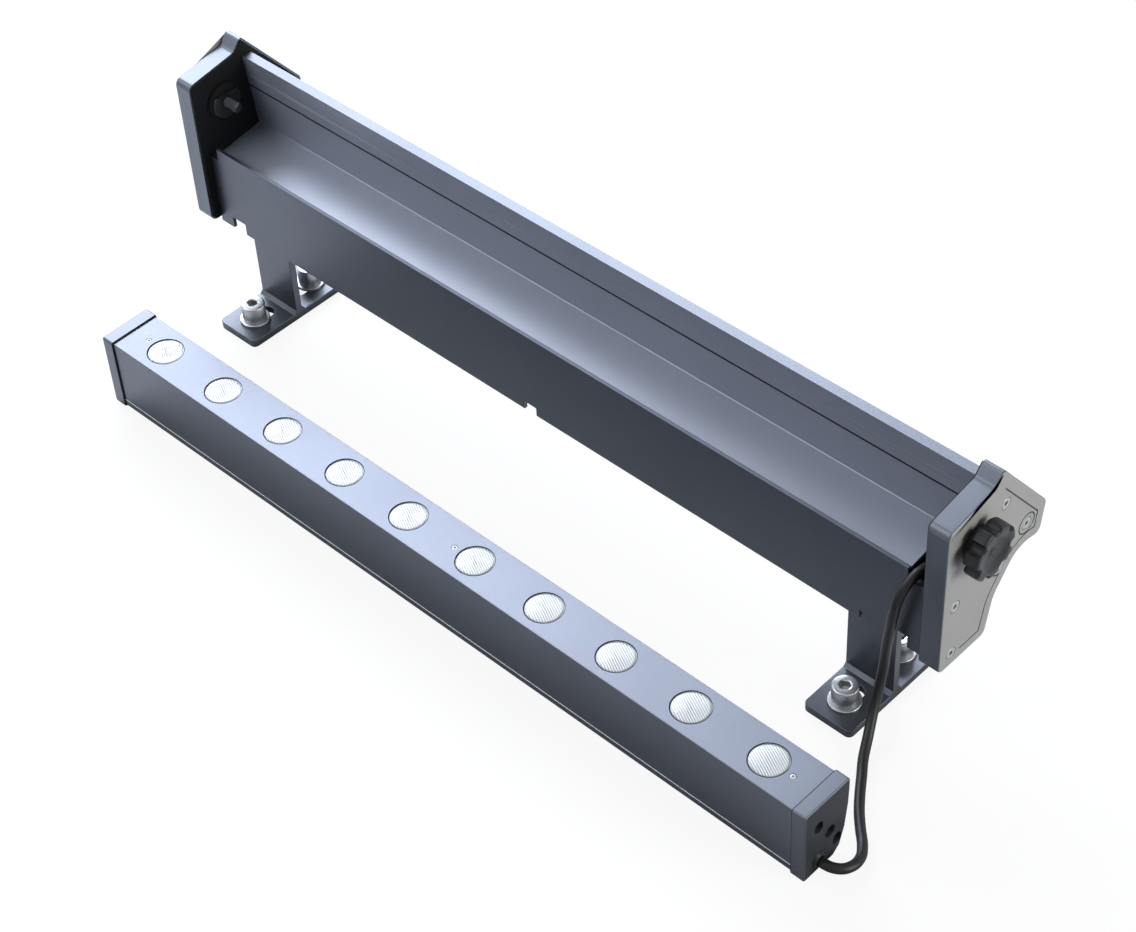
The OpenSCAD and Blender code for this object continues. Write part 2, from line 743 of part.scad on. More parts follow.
module cable_relief() {
    color([0.1, 0.1, 0.1])
        rod_x(driver_left + driver_l, relief_l, relief_d, cable_route[0][1], cable_route[0][2]);
}

// Section of the bar's body: the cap's outline drawn in, cut off where the base strip begins
module body_section() {
    intersection() {
        polygon(rounded(inset(cap_corners, cap_proud)));
        translate([-bar_w, base_h]) square([2 * bar_w, bar_h]);
    }
}

module body_cavity() {
    difference() {
        intersection() {
            polygon(rounded(inset(cap_corners, cap_proud + bar_wall)));
            translate([-bar_w, base_h + bar_wall]) square([2 * bar_w, bar_h]);
        }
        for (e = [-1, 1]) translate([e * board_w / 2 - (e > 0 ? 0 : bar_w), board_low - rib_w])
            square([bar_w, rib_w]);
        for (p = cap_screws) translate(p) circle(r = port_r);
        translate([-bar_w, cap_screws[0][1] - port_neck / 2]) square([bar_w + cap_screws[0][0], port_neck]);
    }
}

module bar_profile() {
    color([0.55, 0.57, 0.63]) translate([0, bar_y, 0]) difference() {
        along_x(bar_mid - body_l / 2, body_l) difference() {
            body_section();
            body_cavity();
            for (p = cap_screws) translate(p) circle(d = cap_screw_d + 2 * fit);
        }
        for (i = [0:lens_count - 1]) translate([lens_x0 + i * lens_pitch, 0, bar_top - bar_wall - cut])
            cylinder(d = lens_d + 2 * lens_fit, h = bar_wall + 2 * cut);
        for (x = top_screw_x) translate([x, 0, bar_top - bar_wall - cut])
            cylinder(d = top_screw_d + 2 * fit, h = bar_wall + 2 * cut);
    }
}

module bar_base() {
    color([0.3, 0.32, 0.33]) translate([0, bar_y, 0])
        along_x(bar_mid - body_l / 2, body_l) intersection() {
            polygon(rounded(inset(cap_corners, cap_proud)));
            translate([-bar_w, 0]) square([2 * bar_w, base_h]);
        }
}

module bar_cap(s) {
    x = bar_len / 2 - cap_t;
    color([0.3, 0.31, 0.33]) translate([bar_mid, bar_y, 0]) at_side(s) difference() {
        translate([x, 0, 0]) union() rimmed_plate(cap_corners, cap_t, cap_edge);
        rod_x(bar_len / 2 - pivot_hole_h, pivot_hole_h + cut, pivot_hole_d, bar_pivot_y, bar_pivot_z);
        for (p = cap_screws) {
            rod_x(x - cut, cap_t + 2 * cut, cap_screw_d + 2 * fit, p[0], p[1]);
            translate([x + cap_t - cap_screw_head_h - cap_screw_sink, p[0], p[1]])
                rotate([0, 90, 0]) linear_extrude(cap_screw_head_h + cap_screw_sink + cut) union() {
                    for (e = [-1, 1]) translate([e * cap_slot / 2, 0]) circle(d = cap_screw_head_d + 2 * fit);
                    square([cap_slot, cap_screw_head_d + 2 * fit], center = true);
                }
        }
        if (s == "right") rod_x(x - cut, cap_t + 2 * cut, gland_d, gland_y, gland_z);
    }
}

module bar_gasket(s) {
    color([0.08, 0.08, 0.08]) translate([bar_mid, bar_y, 0]) at_side(s) difference() {
        along_x(body_l / 2, bar_gasket_t) polygon(rounded(inset(cap_corners, cap_proud / 2)));
        for (p = cap_screws)
            rod_x(body_l / 2 - cut, bar_gasket_t + 2 * cut, cap_screw_d + 2 * fit, p[0], p[1]);
        if (s == "right") rod_x(body_l / 2 - cut, bar_gasket_t + 2 * cut, gland_d, gland_y, gland_z);
    }
}

module bar_cap_screws(s) {
    x = bar_len / 2 - cap_screw_sink;
    color([0.6, 0.6, 0.6]) translate([bar_mid, bar_y, 0]) at_side(s) for (p = cap_screws) {
        rod_x(x - cap_screw_l, cap_screw_l, cap_screw_d, p[0], p[1]);
        rod_x(x - cap_screw_head_h, cap_screw_head_h, cap_screw_head_d, p[0], p[1]);
    }
}

module bar_top_screws() {
    color([0.5, 0.5, 0.52]) for (x = top_screw_x) translate([x, bar_y, bar_top - top_screw_l])
        cylinder(d = top_screw_d, h = top_screw_l);
}

module led_board() {
    color([0.9, 0.9, 0.88]) translate([bar_mid - body_l / 2, bar_y - board_w / 2 - rib_w / 2, board_low])
        cube([body_l, board_w + rib_w, board_t]);
}

// Lens: a narrow foot on the board that opens to the round window, with a slightly domed face
module lens(i) {
    color([0.92, 0.93, 0.95]) translate([lens_x0 + i * lens_pitch, bar_y, bar_top - board_drop])
        rotate_extrude() polygon([
            [0, 0], [lens_foot_d / 2, 0], [lens_d / 2, board_drop - bar_wall - lens_lip_t],
            [lens_d / 2, board_drop - lens_lift], [lens_d / 4, board_drop - lens_lift + lens_dome * 3 / 4],
            [0, board_drop - lens_lift + lens_dome]
        ]);
}

module bar_gland() {
    color([0.07, 0.07, 0.07]) translate([0, bar_y, 0])
        rod_x(bar_mid + body_l / 2, cap_t + bar_gasket_t + gland_l, gland_d - 2 * fit, gland_y, gland_z);
}

// Direction of a route at its point i, and sides square to it that don't twist along the way
function route_way(p, i) = i == 0 ? unit(p[1] - p[0]) : i == len(p) - 1 ? unit(p[i] - p[i - 1])
    : unit(unit(p[i] - p[i - 1]) + unit(p[i + 1] - p[i]));
function side_of(w, last) = unit(last - (last * w) * w);
function route_sides(p, i = 0, last = [0, 0, 1]) = i == len(p) ? [] : let (
    w = route_way(p, i), s = side_of(w, last)) concat([s], route_sides(p, i + 1, s));

module swept_tube(p, d, count) {
    sides_at = route_sides(p);
    loft([for (i = [0:len(p) - 1]) let (w = route_way(p, i), s = sides_at[i], t = cross(w, s))
        [for (k = [0:count - 1]) let (a = -360 * k / count) p[i] + d / 2 * (s * cos(a) + t * sin(a))]]);
}

module power_cord() {
    color([0.14, 0.14, 0.15]) swept_tube(cable_route, cable_d, cable_sides);
}

trough();
rear_shell();
front_cover();
driver();
terminal_block();
cable_relief();
for (s = sides) end_plate(s);
for (s = sides) gasket(s);
for (s = sides) plate_screw_set(s);
for (s = sides) foot(s);
for (s = sides) foot_fixings(s);
for (s = sides) anchor_screw(s, anchor_front_y);
for (s = sides) anchor_screw(s, anchor_rear_y);
for (s = sides) anchor_washer(s, anchor_front_y);
for (s = sides) anchor_washer(s, anchor_rear_y);
for (s = sides) friction_ring(s);
for (s = sides) clamp_washer(s);
knob_grip();  // knob_grip_right
knob_stud();  // knob_stud_right
clamp_bolt();
bar_profile();
bar_base();
led_board();
bar_gland();
bar_top_screws();
for (s = sides) bar_cap(s);
for (s = sides) bar_gasket(s);
for (s = sides) bar_cap_screws(s);
for (i = [0:lens_count - 1]) lens(i);
power_cord();
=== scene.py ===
"""Looks of an outdoor wall washer light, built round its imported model.

Lengths in the classes are millimetres in the model's frame: X along the light, Y back, Z up from the
ground. They are turned to metres where a mesh is made.
"""

import logging
import math
from dataclasses import dataclass
from enum import Enum

import bmesh
import bpy
import numpy as np
from mathutils import Matrix


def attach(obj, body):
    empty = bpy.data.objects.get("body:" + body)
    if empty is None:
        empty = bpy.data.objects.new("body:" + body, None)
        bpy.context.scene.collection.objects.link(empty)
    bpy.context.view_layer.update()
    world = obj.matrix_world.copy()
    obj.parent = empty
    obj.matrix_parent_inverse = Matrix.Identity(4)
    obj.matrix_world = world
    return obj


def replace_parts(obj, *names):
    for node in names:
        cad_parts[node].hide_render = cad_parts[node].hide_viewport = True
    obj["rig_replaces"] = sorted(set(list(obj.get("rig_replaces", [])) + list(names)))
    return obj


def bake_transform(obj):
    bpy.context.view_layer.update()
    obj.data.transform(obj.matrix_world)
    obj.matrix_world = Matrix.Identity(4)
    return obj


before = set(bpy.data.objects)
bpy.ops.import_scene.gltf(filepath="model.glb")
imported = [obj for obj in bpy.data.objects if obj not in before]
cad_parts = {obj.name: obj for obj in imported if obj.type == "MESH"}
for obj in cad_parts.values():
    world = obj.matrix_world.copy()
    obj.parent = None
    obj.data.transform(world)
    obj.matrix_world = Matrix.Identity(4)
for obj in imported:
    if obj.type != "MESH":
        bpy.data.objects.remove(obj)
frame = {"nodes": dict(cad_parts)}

log = logging.getLogger("wall_washer")
MM = 0.001
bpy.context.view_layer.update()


class Side(Enum):
    """End of the light, as the sign of its X."""

    LEFT = -1
    RIGHT = 1

    @property
    def word(self) -> str:
        """Name of the end as the nodes spell it."""
        return self.name.lower()


class Body(Enum):
    """Moving bodies of the model that a piece can ride on."""

    HOUSING = "housing"
    BAR = "light_bar"
    BOLT = "bolt_left"
    KNOB = "knob_right"


@dataclass
class Shell:
    """Closed or open surface: its points in millimetres, its faces and one lathe value for each point."""

    points: np.ndarray
    faces: list[tuple[int, ...]]
    lathe: np.ndarray


def grid_shell(grid: np.ndarray, lathe: np.ndarray | None = None) -> Shell:
    """Surface over two parameters: rings along the first, round the second, which closes on itself.

    Args:
        grid: Points of shape (rings, sides, 3), in millimetres.
        lathe: One value for each ring, kept for patterns that follow the turning.

    Returns:
        The shell with a quad between each point and its neighbours on the next ring.
    """
    rings, sides, _ = grid.shape
    ring, side = np.meshgrid(np.arange(rings - 1), np.arange(sides), indexing="ij")
    after = (side + 1) % sides
    quads = np.stack([ring * sides + side, ring * sides + after,
                      (ring + 1) * sides + after, (ring + 1) * sides + side], -1).reshape(-1, 4)
    value = np.zeros(rings) if lathe is None else lathe
    return Shell(grid.reshape(-1, 3), [tuple(q) for q in quads.tolist()], np.repeat(value, sides))


def frame_of(axis: np.ndarray) -> tuple[np.ndarray, np.ndarray]:
    """Two unit vectors square to an axis and to each other.

    Args:
        axis: Unit vector.

    Returns:
        The two vectors, right-handed with the axis.
    """
    up = np.array([0.0, 0.0, 1.0]) if abs(axis[2]) < 0.9 else np.array([0.0, 1.0, 0.0])
    first = np.cross(up, axis)
    first /= np.linalg.norm(first)
    return first, np.cross(axis, first)


def filleted(corners: list[tuple[float, ...]], steps: int = 4) -> np.ndarray:
    """Open polyline whose corners are rounded by arcs tangent to both sides.

    Args:
        corners: (radius, height, fillet radius) and any more values, which are carried along.
        steps: Pieces in each arc.

    Returns:
        Rows of (radius, height, carried values).
    """
    rows: list[np.ndarray] = []
    for i, corner in enumerate(corners):
        here, carried = np.array(corner[:2]), list(corner[3:])
        fillet = corner[2] if 0 < i < len(corners) - 1 else 0
        if fillet <= 0:
            rows.append(np.array([*here, *carried])[None])
            continue
        back = np.array(corners[i - 1][:2]) - here
        ahead = np.array(corners[i + 1][:2]) - here
        back, ahead = back / np.linalg.norm(back), ahead / np.linalg.norm(ahead)
        half = math.acos(max(-1.0, min(1.0, float(back @ ahead)))) / 2
        middle = (back + ahead) / np.linalg.norm(back + ahead)
        centre = here + middle * fillet / math.sin(half)
        start = here + back * fillet / math.tan(half) - centre
        end = here + ahead * fillet / math.tan(half) - centre
        t = np.linspace(0, 1, steps + 1)[:, None]
        spread = math.pi - 2 * half
        arc = (start * np.sin((1 - t) * spread) + end * np.sin(t * spread)) / math.sin(spread)
        rows.append(np.hstack([centre + arc, np.tile(carried, (steps + 1, 1)) if carried else np.empty((steps + 1, 0))]))
    return np.vstack(rows)


def turned(profile: np.ndarray, at: tuple[float, float, float], axis: tuple[float, float, float],
           sides: int = 48) -> Shell:
    """Turned part: each ring lies at its height along the axis, at its radius round it.

    A third column of the profile, from 0 to 1, pulls the ring to a hexagon: a hexagon's edge lies at
    the radius divided by the cosine of the angle to the middle of its side.

    Args:
        profile: Rows of (radius, height) or (radius, height, hexagon share), in millimetres.
        at: Foot of the axis.
        axis: Direction of the axis.
        sides: Points round each ring.

    Returns:
        The surface, with the distance along the profile as its lathe value.
    """
    along = np.array(axis, float) / np.linalg.norm(axis)
    first, second = frame_of(along)
    angle = np.linspace(0, 2 * np.pi, sides, endpoint=False)
    hexagon = 1 / np.cos((angle + np.pi / 6) % (np.pi / 3) - np.pi / 6)
    share = profile[:, 2] if profile.shape[1] > 2 else np.zeros(len(profile))
    radius = profile[:, :1] * (1 + share[:, None] * (hexagon[None] - 1))
    ring = np.cos(angle)[:, None] * first + np.sin(angle)[:, None] * second
    grid = np.array(at) + profile[:, 1][:, None, None] * along + radius[:, :, None] * ring[None]
    steps = np.linalg.norm(np.diff(profile[:, :2], axis=0), axis=1)
    return grid_shell(grid, np.concatenate([[0], np.cumsum(steps)]))


def fused(shells: list[Shell]) -> Shell:
    """Several shells as one, their points one after the other."""
    starts = np.cumsum([0] + [len(s.points) for s in shells[:-1]])
    faces = [tuple(i + int(n) for i in f) for s, n in zip(shells, starts) for f in s.faces]
    return Shell(np.vstack([s.points for s in shells]), faces, np.concatenate([s.lathe for s in shells]))


def make_mesh(name: str, shell: Shell, crease: float = 35.0) -> bpy.types.Object:
    """Object for a shell: poles closed, faces outward, smooth up to the crease angle.

    Args:
        name: Name of the piece.
        shell: Its surface.
        crease: Angle in degrees above which an edge stays sharp.

    Returns:
        The object, at the origin.
    """
    mesh = bpy.data.meshes.new(name)
    mesh.from_pydata((shell.points * MM).tolist(), [], shell.faces)
    mesh.attributes.new("lathe", "FLOAT", "POINT").data.foreach_set("value", shell.lathe.astype(np.float32) * MM)
    work = bmesh.new()
    work.from_mesh(mesh)
    bmesh.ops.remove_doubles(work, verts=work.verts, dist=2e-6)
    bmesh.ops.dissolve_degenerate(work, edges=work.edges, dist=1e-7)
    bmesh.ops.recalc_face_normals(work, faces=work.faces)
    work.to_mesh(mesh)
    work.free()
    shade(mesh, crease)
    piece = bpy.data.objects.new(name, mesh)
    bpy.context.scene.collection.objects.link(piece)
    return piece


def shade(mesh: bpy.types.Mesh, crease: float) -> None:
    """Smooth shading with edges sharp above the crease angle, in degrees."""
    mesh.polygons.foreach_set("use_smooth", np.ones(len(mesh.polygons), bool))
    mesh.set_sharp_from_angle(angle=math.radians(crease))


def softened(node: str, name: str, width: float, segments: int = 2, limit: float = 38.0) -> bpy.types.Object:
    """Copy of a model node whose sharp edges are broken as a maker breaks them.

    The copy's loose triangles are merged by distance and its flat faces joined, then a Bevel of the
    given width rounds each edge that turns by more than the limit.

    Args:
        node: Name of the model's node.
        name: Name of the new piece.
        width: Width of the broken edge, in millimetres.
        segments: Faces across the broken edge.
        limit: Least turn of an edge that is broken, in degrees.

    Returns:
        The piece, standing for the node.
    """
    source = frame["nodes"][node].data
    points = np.empty(len(source.vertices) * 3)
    source.vertices.foreach_get("co", points)
    mesh = bpy.data.meshes.new(name)
    mesh.from_pydata(points.reshape(-1, 3).tolist(), [], [tuple(p.vertices) for p in source.polygons])
    work = bmesh.new()
    work.from_mesh(mesh)
    bmesh.ops.remove_doubles(work, verts=work.verts, dist=3e-6)
    bmesh.ops.dissolve_degenerate(work, edges=work.edges, dist=1e-6)
    bmesh.ops.dissolve_limit(work, angle_limit=math.radians(0.4), verts=work.verts, edges=work.edges)
    work.to_mesh(mesh)
    work.free()
    shade(mesh, limit)
    piece = bpy.data.objects.new(name, mesh)
    bpy.context.scene.collection.objects.link(piece)
    bevel = piece.modifiers.new("broken edges", "BEVEL")
    bevel.width = width * MM
    bevel.segments = segments
    bevel.limit_method = "ANGLE"
    bevel.angle_limit = math.radians(limit)
    bevel.use_clamp_overlap = True
    flat = piece.modifiers.new("flat faces stay flat", "WEIGHTED_NORMAL")
    flat.weight = 100
    flat.keep_sharp = True
    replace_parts(piece, node)
    return piece


def linear(colour: str) -> tuple[float, float, float, float]:
    """Linear colour for an sRGB hex value such as "#8A8F96"."""
    channels = np.array([int(colour[i:i + 2], 16) for i in (1, 3, 5)]) / 255
    low, high = channels / 12.92, ((channels + 0.055) / 1.055) ** 2.4
    return (*np.where(channels <= 0.04045, low, high).tolist(), 1.0)


def add(tree: bpy.types.NodeTree, kind: str, inputs: dict | None = None, **settings: object) -> bpy.types.Node:
    """Adds one node with its settings, values and links.

    Args:
        tree: Node tree that gets the node.
        kind: Blender's name of the node type.
        inputs: For each input socket, a value, or an output socket that is linked to it.
        settings: Properties of the node itself.

    Returns:
        The node.
    """
    made = tree.nodes.new(kind)
    for key, value in settings.items():
        setattr(made, key, value)
    for key, value in (inputs or {}).items():
        if isinstance(value, bpy.types.NodeSocket):
            tree.links.new(value, made.inputs[key])
        else:
            made.inputs[key].default_value = value
    return made


def blend(tree: bpy.types.NodeTree, share: bpy.types.NodeSocket, dark: str, light: str) -> bpy.types.NodeSocket:
    """Colour between two hex values by a share.

    Args:
        tree: Node tree.
        share: Output socket from 0, dark, to 1, light.
        dark: First colour.
        light: Second colour.

    Returns:
        The output socket of the colour.
    """
    mix = add(tree, "ShaderNodeMix", {0: share, 6: linear(dark), 7: linear(light)}, data_type="RGBA")
    return mix.outputs[2]


@dataclass(frozen=True)
class Finish:
    """A finish of the light: the name of its material and the material slot of the record."""

    name: str
    slot: str

    def material(self) -> bpy.types.Material:
        """The finish as a material, made once.

        Returns:
            The material.
        """
        found = bpy.data.materials.get(self.name)
        if found:
            return found
        made = bpy.data.materials.new(self.name)
        made.use_nodes = True
        tree = made.node_tree
        tree.nodes.clear()
        shader = add(tree, "ShaderNodeBsdfPrincipled")
        add(tree, "ShaderNodeOutputMaterial", {"Surface": shader.outputs[0]})
        self.dress(tree, shader)
        return made

    def dress(self, tree: bpy.types.NodeTree, shader: bpy.types.Node) -> None:
        """Sets the shader's values and patterns; each finish has its own.

        Args:
            tree: The material's node tree.
            shader: Its Principled shader.
        """
        raise NotImplementedError

    def on(self, *pieces: bpy.types.Object) -> None:
        """Gives pieces this finish.

        Args:
            pieces: Objects of the light, new ones or the model's own nodes.
        """
        for piece in pieces:
            if piece.data.materials:
                for i in range(len(piece.data.materials)):
                    piece.material_slots[i].material = self.material()
            else:
                piece.data.materials.append(self.material())


@dataclass(frozen=True)
class AnodisedExtrusion(Finish):
    """Aluminium profile, extruded, etched and anodised silver grey.

    The etch leaves a fine satin grain, the die leaves faint lines along the profile, and the oxide
    lets the eye see a soft sheen with no clear reflection.
    """

    colour: str = "#575B63"
    shadow: str = "#4D5159"
    roughness: float = 0.36
    metallic: float = 0.68
    specular: float = 0.15
    line_mm: float = 0.9
    grain_mm: float = 0.55

    def dress(self, tree: bpy.types.NodeTree, shader: bpy.types.Node) -> None:
        """Die lines are a noise drawn out 600 times along X; grain is a plain fine noise."""
        place = add(tree, "ShaderNodeTexCoord").outputs["Object"]
        drawn = add(tree, "ShaderNodeMapping", {"Vector": place, "Scale": (0.0015, 1.0, 1.0)}).outputs[0]
        lines = add(tree, "ShaderNodeTexNoise", {"Vector": drawn, "Scale": 1 / (self.line_mm * MM), "Detail": 2.0})
        # The etched grain is about 0.05 mm: it is drawn ten times as coarse, or the render wouldn't show it
        grain = add(tree, "ShaderNodeTexNoise", {"Vector": place, "Scale": 1 / (self.grain_mm * MM), "Detail": 3.0})
        cloud = add(tree, "ShaderNodeTexNoise", {"Vector": place, "Scale": 1 / 0.07, "Detail": 2.0})
        tree.links.new(blend(tree, cloud.outputs["Fac"], self.shadow, self.colour), shader.inputs["Base Color"])
        rough = add(tree, "ShaderNodeMapRange", {"Value": grain.outputs["Fac"], "From Min": 0.3, "From Max": 0.7,
                                                 "To Min": self.roughness - 0.05, "To Max": self.roughness + 0.05})
        tree.links.new(rough.outputs[0], shader.inputs["Roughness"])
        cut = add(tree, "ShaderNodeBump", {"Height": lines.outputs["Fac"], "Strength": 0.18, "Distance": 0.00004})
        etched = add(tree, "ShaderNodeBump", {"Height": grain.outputs["Fac"], "Strength": 0.32, "Distance": 0.00006,
                                              "Normal": cut.outputs[0]})
        tree.links.new(etched.outputs[0], shader.inputs["Normal"])
        shader.inputs["Metallic"].default_value = self.metallic
        shader.inputs["Specular IOR Level"].default_value = self.specular


@dataclass(frozen=True)
class BlastedAluminium(Finish):
    """Die-cast aluminium, bead blasted and clear anodised.

    The beads leave a tight even pebble that kills reflections. The default colour is lighter and warmer than
    the profiles beside it: painted light for the lamp on the plate's outer face.
    """

    colour: str = "#A9A9A5"
    shadow: str = "#9E9E9B"
    roughness: float = 0.46
    metallic: float = 0.15
    specular: float = 0.3
    bead_mm: float = 0.7

    def dress(self, tree: bpy.types.NodeTree, shader: bpy.types.Node) -> None:
        """The pebble is the distance to the nearest of many random points, a bead's width apart."""
        place = add(tree, "ShaderNodeTexCoord").outputs["Object"]
        pebble = add(tree, "ShaderNodeTexVoronoi", {"Vector": place, "Scale": 1 / (self.bead_mm * MM)},
                     feature="SMOOTH_F1")
        cloud = add(tree, "ShaderNodeTexNoise", {"Vector": place, "Scale": 1 / 0.03, "Detail": 3.0})
        tree.links.new(blend(tree, cloud.outputs["Fac"], self.shadow, self.colour),
                       shader.inputs["Base Color"])
        rough = add(tree, "ShaderNodeMapRange", {"Value": cloud.outputs["Fac"], "From Min": 0.3, "From Max": 0.7,
                                                 "To Min": self.roughness - 0.04, "To Max": self.roughness + 0.04})
        tree.links.new(rough.outputs[0], shader.inputs["Roughness"])
        bump = add(tree, "ShaderNodeBump", {"Height": pebble.outputs["Distance"], "Strength": 0.18, "Distance": 0.00005})
        tree.links.new(bump.outputs[0], shader.inputs["Normal"])
        shader.inputs["Metallic"].default_value = self.metallic
        shader.inputs["Specular IOR Level"].default_value = self.specular


@dataclass(frozen=True)
class TurnedSteel(Finish):
    """Steel, turned on a lathe, then plated bright or blackened.

    The tool leaves rings round the axis, which draw the highlight out into fine bands.
    """

    colour: str = "#A8AAAC"
    roughness: float = 0.36
    metallic: float = 1.0
    pitch_mm: float = 0.35

    def dress(self, tree: bpy.types.NodeTree, shader: bpy.types.Node) -> None:
        """The rings are a sine of the distance along the profile, which each point keeps as "lathe"."""
        along = add(tree, "ShaderNodeAttribute", attribute_name="lathe").outputs["Fac"]
        phase = add(tree, "ShaderNodeMath", {0: along, 1: 2 * math.pi / (self.pitch_mm * MM)}, operation="MULTIPLY")
        rings = add(tree, "ShaderNodeMath", {0: phase.outputs[0]}, operation="SINE")
        place = add(tree, "ShaderNodeTexCoord").outputs["Object"]
        smear = add(tree, "ShaderNodeTexNoise", {"Vector": place, "Scale": 1 / 0.004, "Detail": 3.0})
        rough = add(tree, "ShaderNodeMapRange", {"Value": smear.outputs["Fac"], "From Min": 0.3, "From Max": 0.7,
                                                 "To Min": self.roughness - 0.07, "To Max": self.roughness + 0.07})
        tree.links.new(rough.outputs[0], shader.inputs["Roughness"])
        bump = add(tree, "ShaderNodeBump", {"Height": rings.outputs[0], "Strength": 0.05, "Distance": 0.00001})
        tree.links.new(bump.outputs[0], shader.inputs["Normal"])
        shader.inputs["Base Color"].default_value = linear(self.colour)
        shader.inputs["Metallic"].default_value = self.metallic


@dataclass(frozen=True)
class MouldedPolymer(Finish):
    """Plastic or rubber part from a spark-eroded mould.

    The mould's texture gives a matt face with a fine leathery grain and a broad, dull highlight.
    """

    colour: str = "#2A2B2D"
    fade: str = "#323335"
    roughness: float = 0.55
    ior: float = 1.5
    specular: float = 0.5
    grain_mm: float = 0.6
    depth: float = 0.3

    def dress(self, tree: bpy.types.NodeTree, shader: bpy.types.Node) -> None:
        """Grain is a fine noise; the colour fades by a slow one, as handled plastic does."""
        place = add(tree, "ShaderNodeTexCoord").outputs["Object"]
        grain = add(tree, "ShaderNodeTexNoise", {"Vector": place, "Scale": 1 / (self.grain_mm * MM), "Detail": 4.0})
        cloud = add(tree, "ShaderNodeTexNoise", {"Vector": place, "Scale": 1 / 0.012, "Detail": 3.0})
        tree.links.new(blend(tree, cloud.outputs["Fac"], self.colour, self.fade),
                       shader.inputs["Base Color"])
        rough = add(tree, "ShaderNodeMapRange", {"Value": cloud.outputs["Fac"], "From Min": 0.3, "From Max": 0.7,
                                                 "To Min": self.roughness - 0.06, "To Max": self.roughness + 0.06})
        tree.links.new(rough.outputs[0], shader.inputs["Roughness"])
        bump = add(tree, "ShaderNodeBump", {"Height": grain.outputs["Fac"], "Strength": self.depth, "Distance": 0.00008})
        tree.links.new(bump.outputs[0], shader.inputs["Normal"])
        shader.inputs["IOR"].default_value = self.ior
        shader.inputs["Specular IOR Level"].default_value = self.specular


@dataclass(frozen=True)
class RibbedAcrylic(Finish):
    """Acrylic lens, injection moulded with fine ribs across its face.

    The ribs spread the light and hide the board, so the window looks white; its faint grey lines are painted shade in
    the hollows between the ribs.
    """

    colour: str = "#E2E4E2"
    valley: str = "#70777B"
    roughness: float = 0.18
    ior: float = 1.49

    def dress(self, tree: bpy.types.NodeTree, shader: bpy.types.Node) -> None:
        """Valleys are painted darker, as painted shade: the share is the height that each point keeps as "lathe"."""
        height = add(tree, "ShaderNodeAttribute", attribute_name="lathe").outputs["Fac"]
        share = add(tree, "ShaderNodeMapRange", {"Value": height, "From Min": 0.0, "From Max": 0.001})
        tree.links.new(blend(tree, share.outputs[0], self.valley, self.colour),
                       shader.inputs["Base Color"])
        shader.inputs["Roughness"].default_value = self.roughness
        shader.inputs["IOR"].default_value = self.ior


@dataclass(frozen=True)
class CableSheath(Finish):
    """Soft PVC sheath, extruded over the cores.

    The die gives a smooth satin skin with faint lines along the cable, and the lay of the cores
    shows as a slow twist under it.
    """

    colour: str = "#131415"
    fade: str = "#18191A"
    roughness: float = 0.42
    twist_mm: float = 32.0

    def dress(self, tree: bpy.types.NodeTree, shader: bpy.types.Node) -> None:
        """The twist is a sine of the angle round the cable plus the length along it, from the UV map."""
        uv = add(tree, "ShaderNodeUVMap", uv_map="along")
        split = add(tree, "ShaderNodeSeparateXYZ", {0: uv.outputs[0]})
        turn = add(tree, "ShaderNodeMath", {0: split.outputs["Y"], 1: 3 * 2 * math.pi}, operation="MULTIPLY")
        run = add(tree, "ShaderNodeMath", {0: split.outputs["X"], 1: 2 * math.pi / (self.twist_mm * MM)},
                  operation="MULTIPLY")
        phase = add(tree, "ShaderNodeMath", {0: turn.outputs[0], 1: run.outputs[0]}, operation="ADD")
        wave = add(tree, "ShaderNodeMath", {0: phase.outputs[0]}, operation="SINE")
        drawn = add(tree, "ShaderNodeMapping", {"Vector": uv.outputs[0], "Scale": (12.0, 60.0, 1.0)})
        lines = add(tree, "ShaderNodeTexNoise", {"Vector": drawn.outputs[0], "Scale": 1.0, "Detail": 2.0})
        tree.links.new(blend(tree, lines.outputs["Fac"], self.colour, self.fade),
                       shader.inputs["Base Color"])
        bump = add(tree, "ShaderNodeBump", {"Height": wave.outputs[0], "Strength": 0.25, "Distance": 0.00012})
        fine = add(tree, "ShaderNodeBump", {"Height": lines.outputs["Fac"], "Strength": 0.15, "Distance": 0.00005,
                                            "Normal": bump.outputs[0]})
        tree.links.new(fine.outputs[0], shader.inputs["Normal"])
        shader.inputs["Roughness"].default_value = self.roughness
        shader.inputs["Specular IOR Level"].default_value = 0.3


PROFILE = AnodisedExtrusion("anodised aluminium extrusion", "housing_coat")
REAR = AnodisedExtrusion("anodised aluminium rear extrusion", "housing_coat", colour="#595D64", shadow="#50545B")
BRACKET = AnodisedExtrusion("anodised aluminium foot extrusion", "plate_coat", colour="#5A5E64", shadow="#51555B")
BAR_PROFILE = AnodisedExtrusion("anodised aluminium bar extrusion", "bar_coat", colour="#62666E", shadow="#575B63")
BAR_CAP = AnodisedExtrusion("anodised machined bar cap", "bar_coat", colour="#5E6269", shadow="#54585F")
# Painted shade: the caps' outward end faces are the same anodised metal, painted darker so the side lamp leaves them
# dark.
CAP_END_SHADE_PAINT = AnodisedExtrusion("anodised milled cap end", "bar_coat", colour="#3A3D41", shadow="#34373B", roughness=0.5,
                            metallic=0.3)
# Painted light: the trough and the rear wall's front face are the same anodised profile as the fronts, painted about
# three times lighter for the light they get.
TROUGH_PAINTED_LIGHT = AnodisedExtrusion("bright anodised trough extrusion", "housing_coat", colour="#ADB2BE", shadow="#A1A6B2",
                           metallic=0.25)
# Painted highlight: a light colour for the thin rod that draws a bright line along the trough's corner.
HIGHLIGHT_BEAD_PAINT = AnodisedExtrusion("bright-cut extrusion edge", "housing_coat", colour="#B4B8BF", shadow="#A8ACB3",
                             roughness=0.34, metallic=0.35)
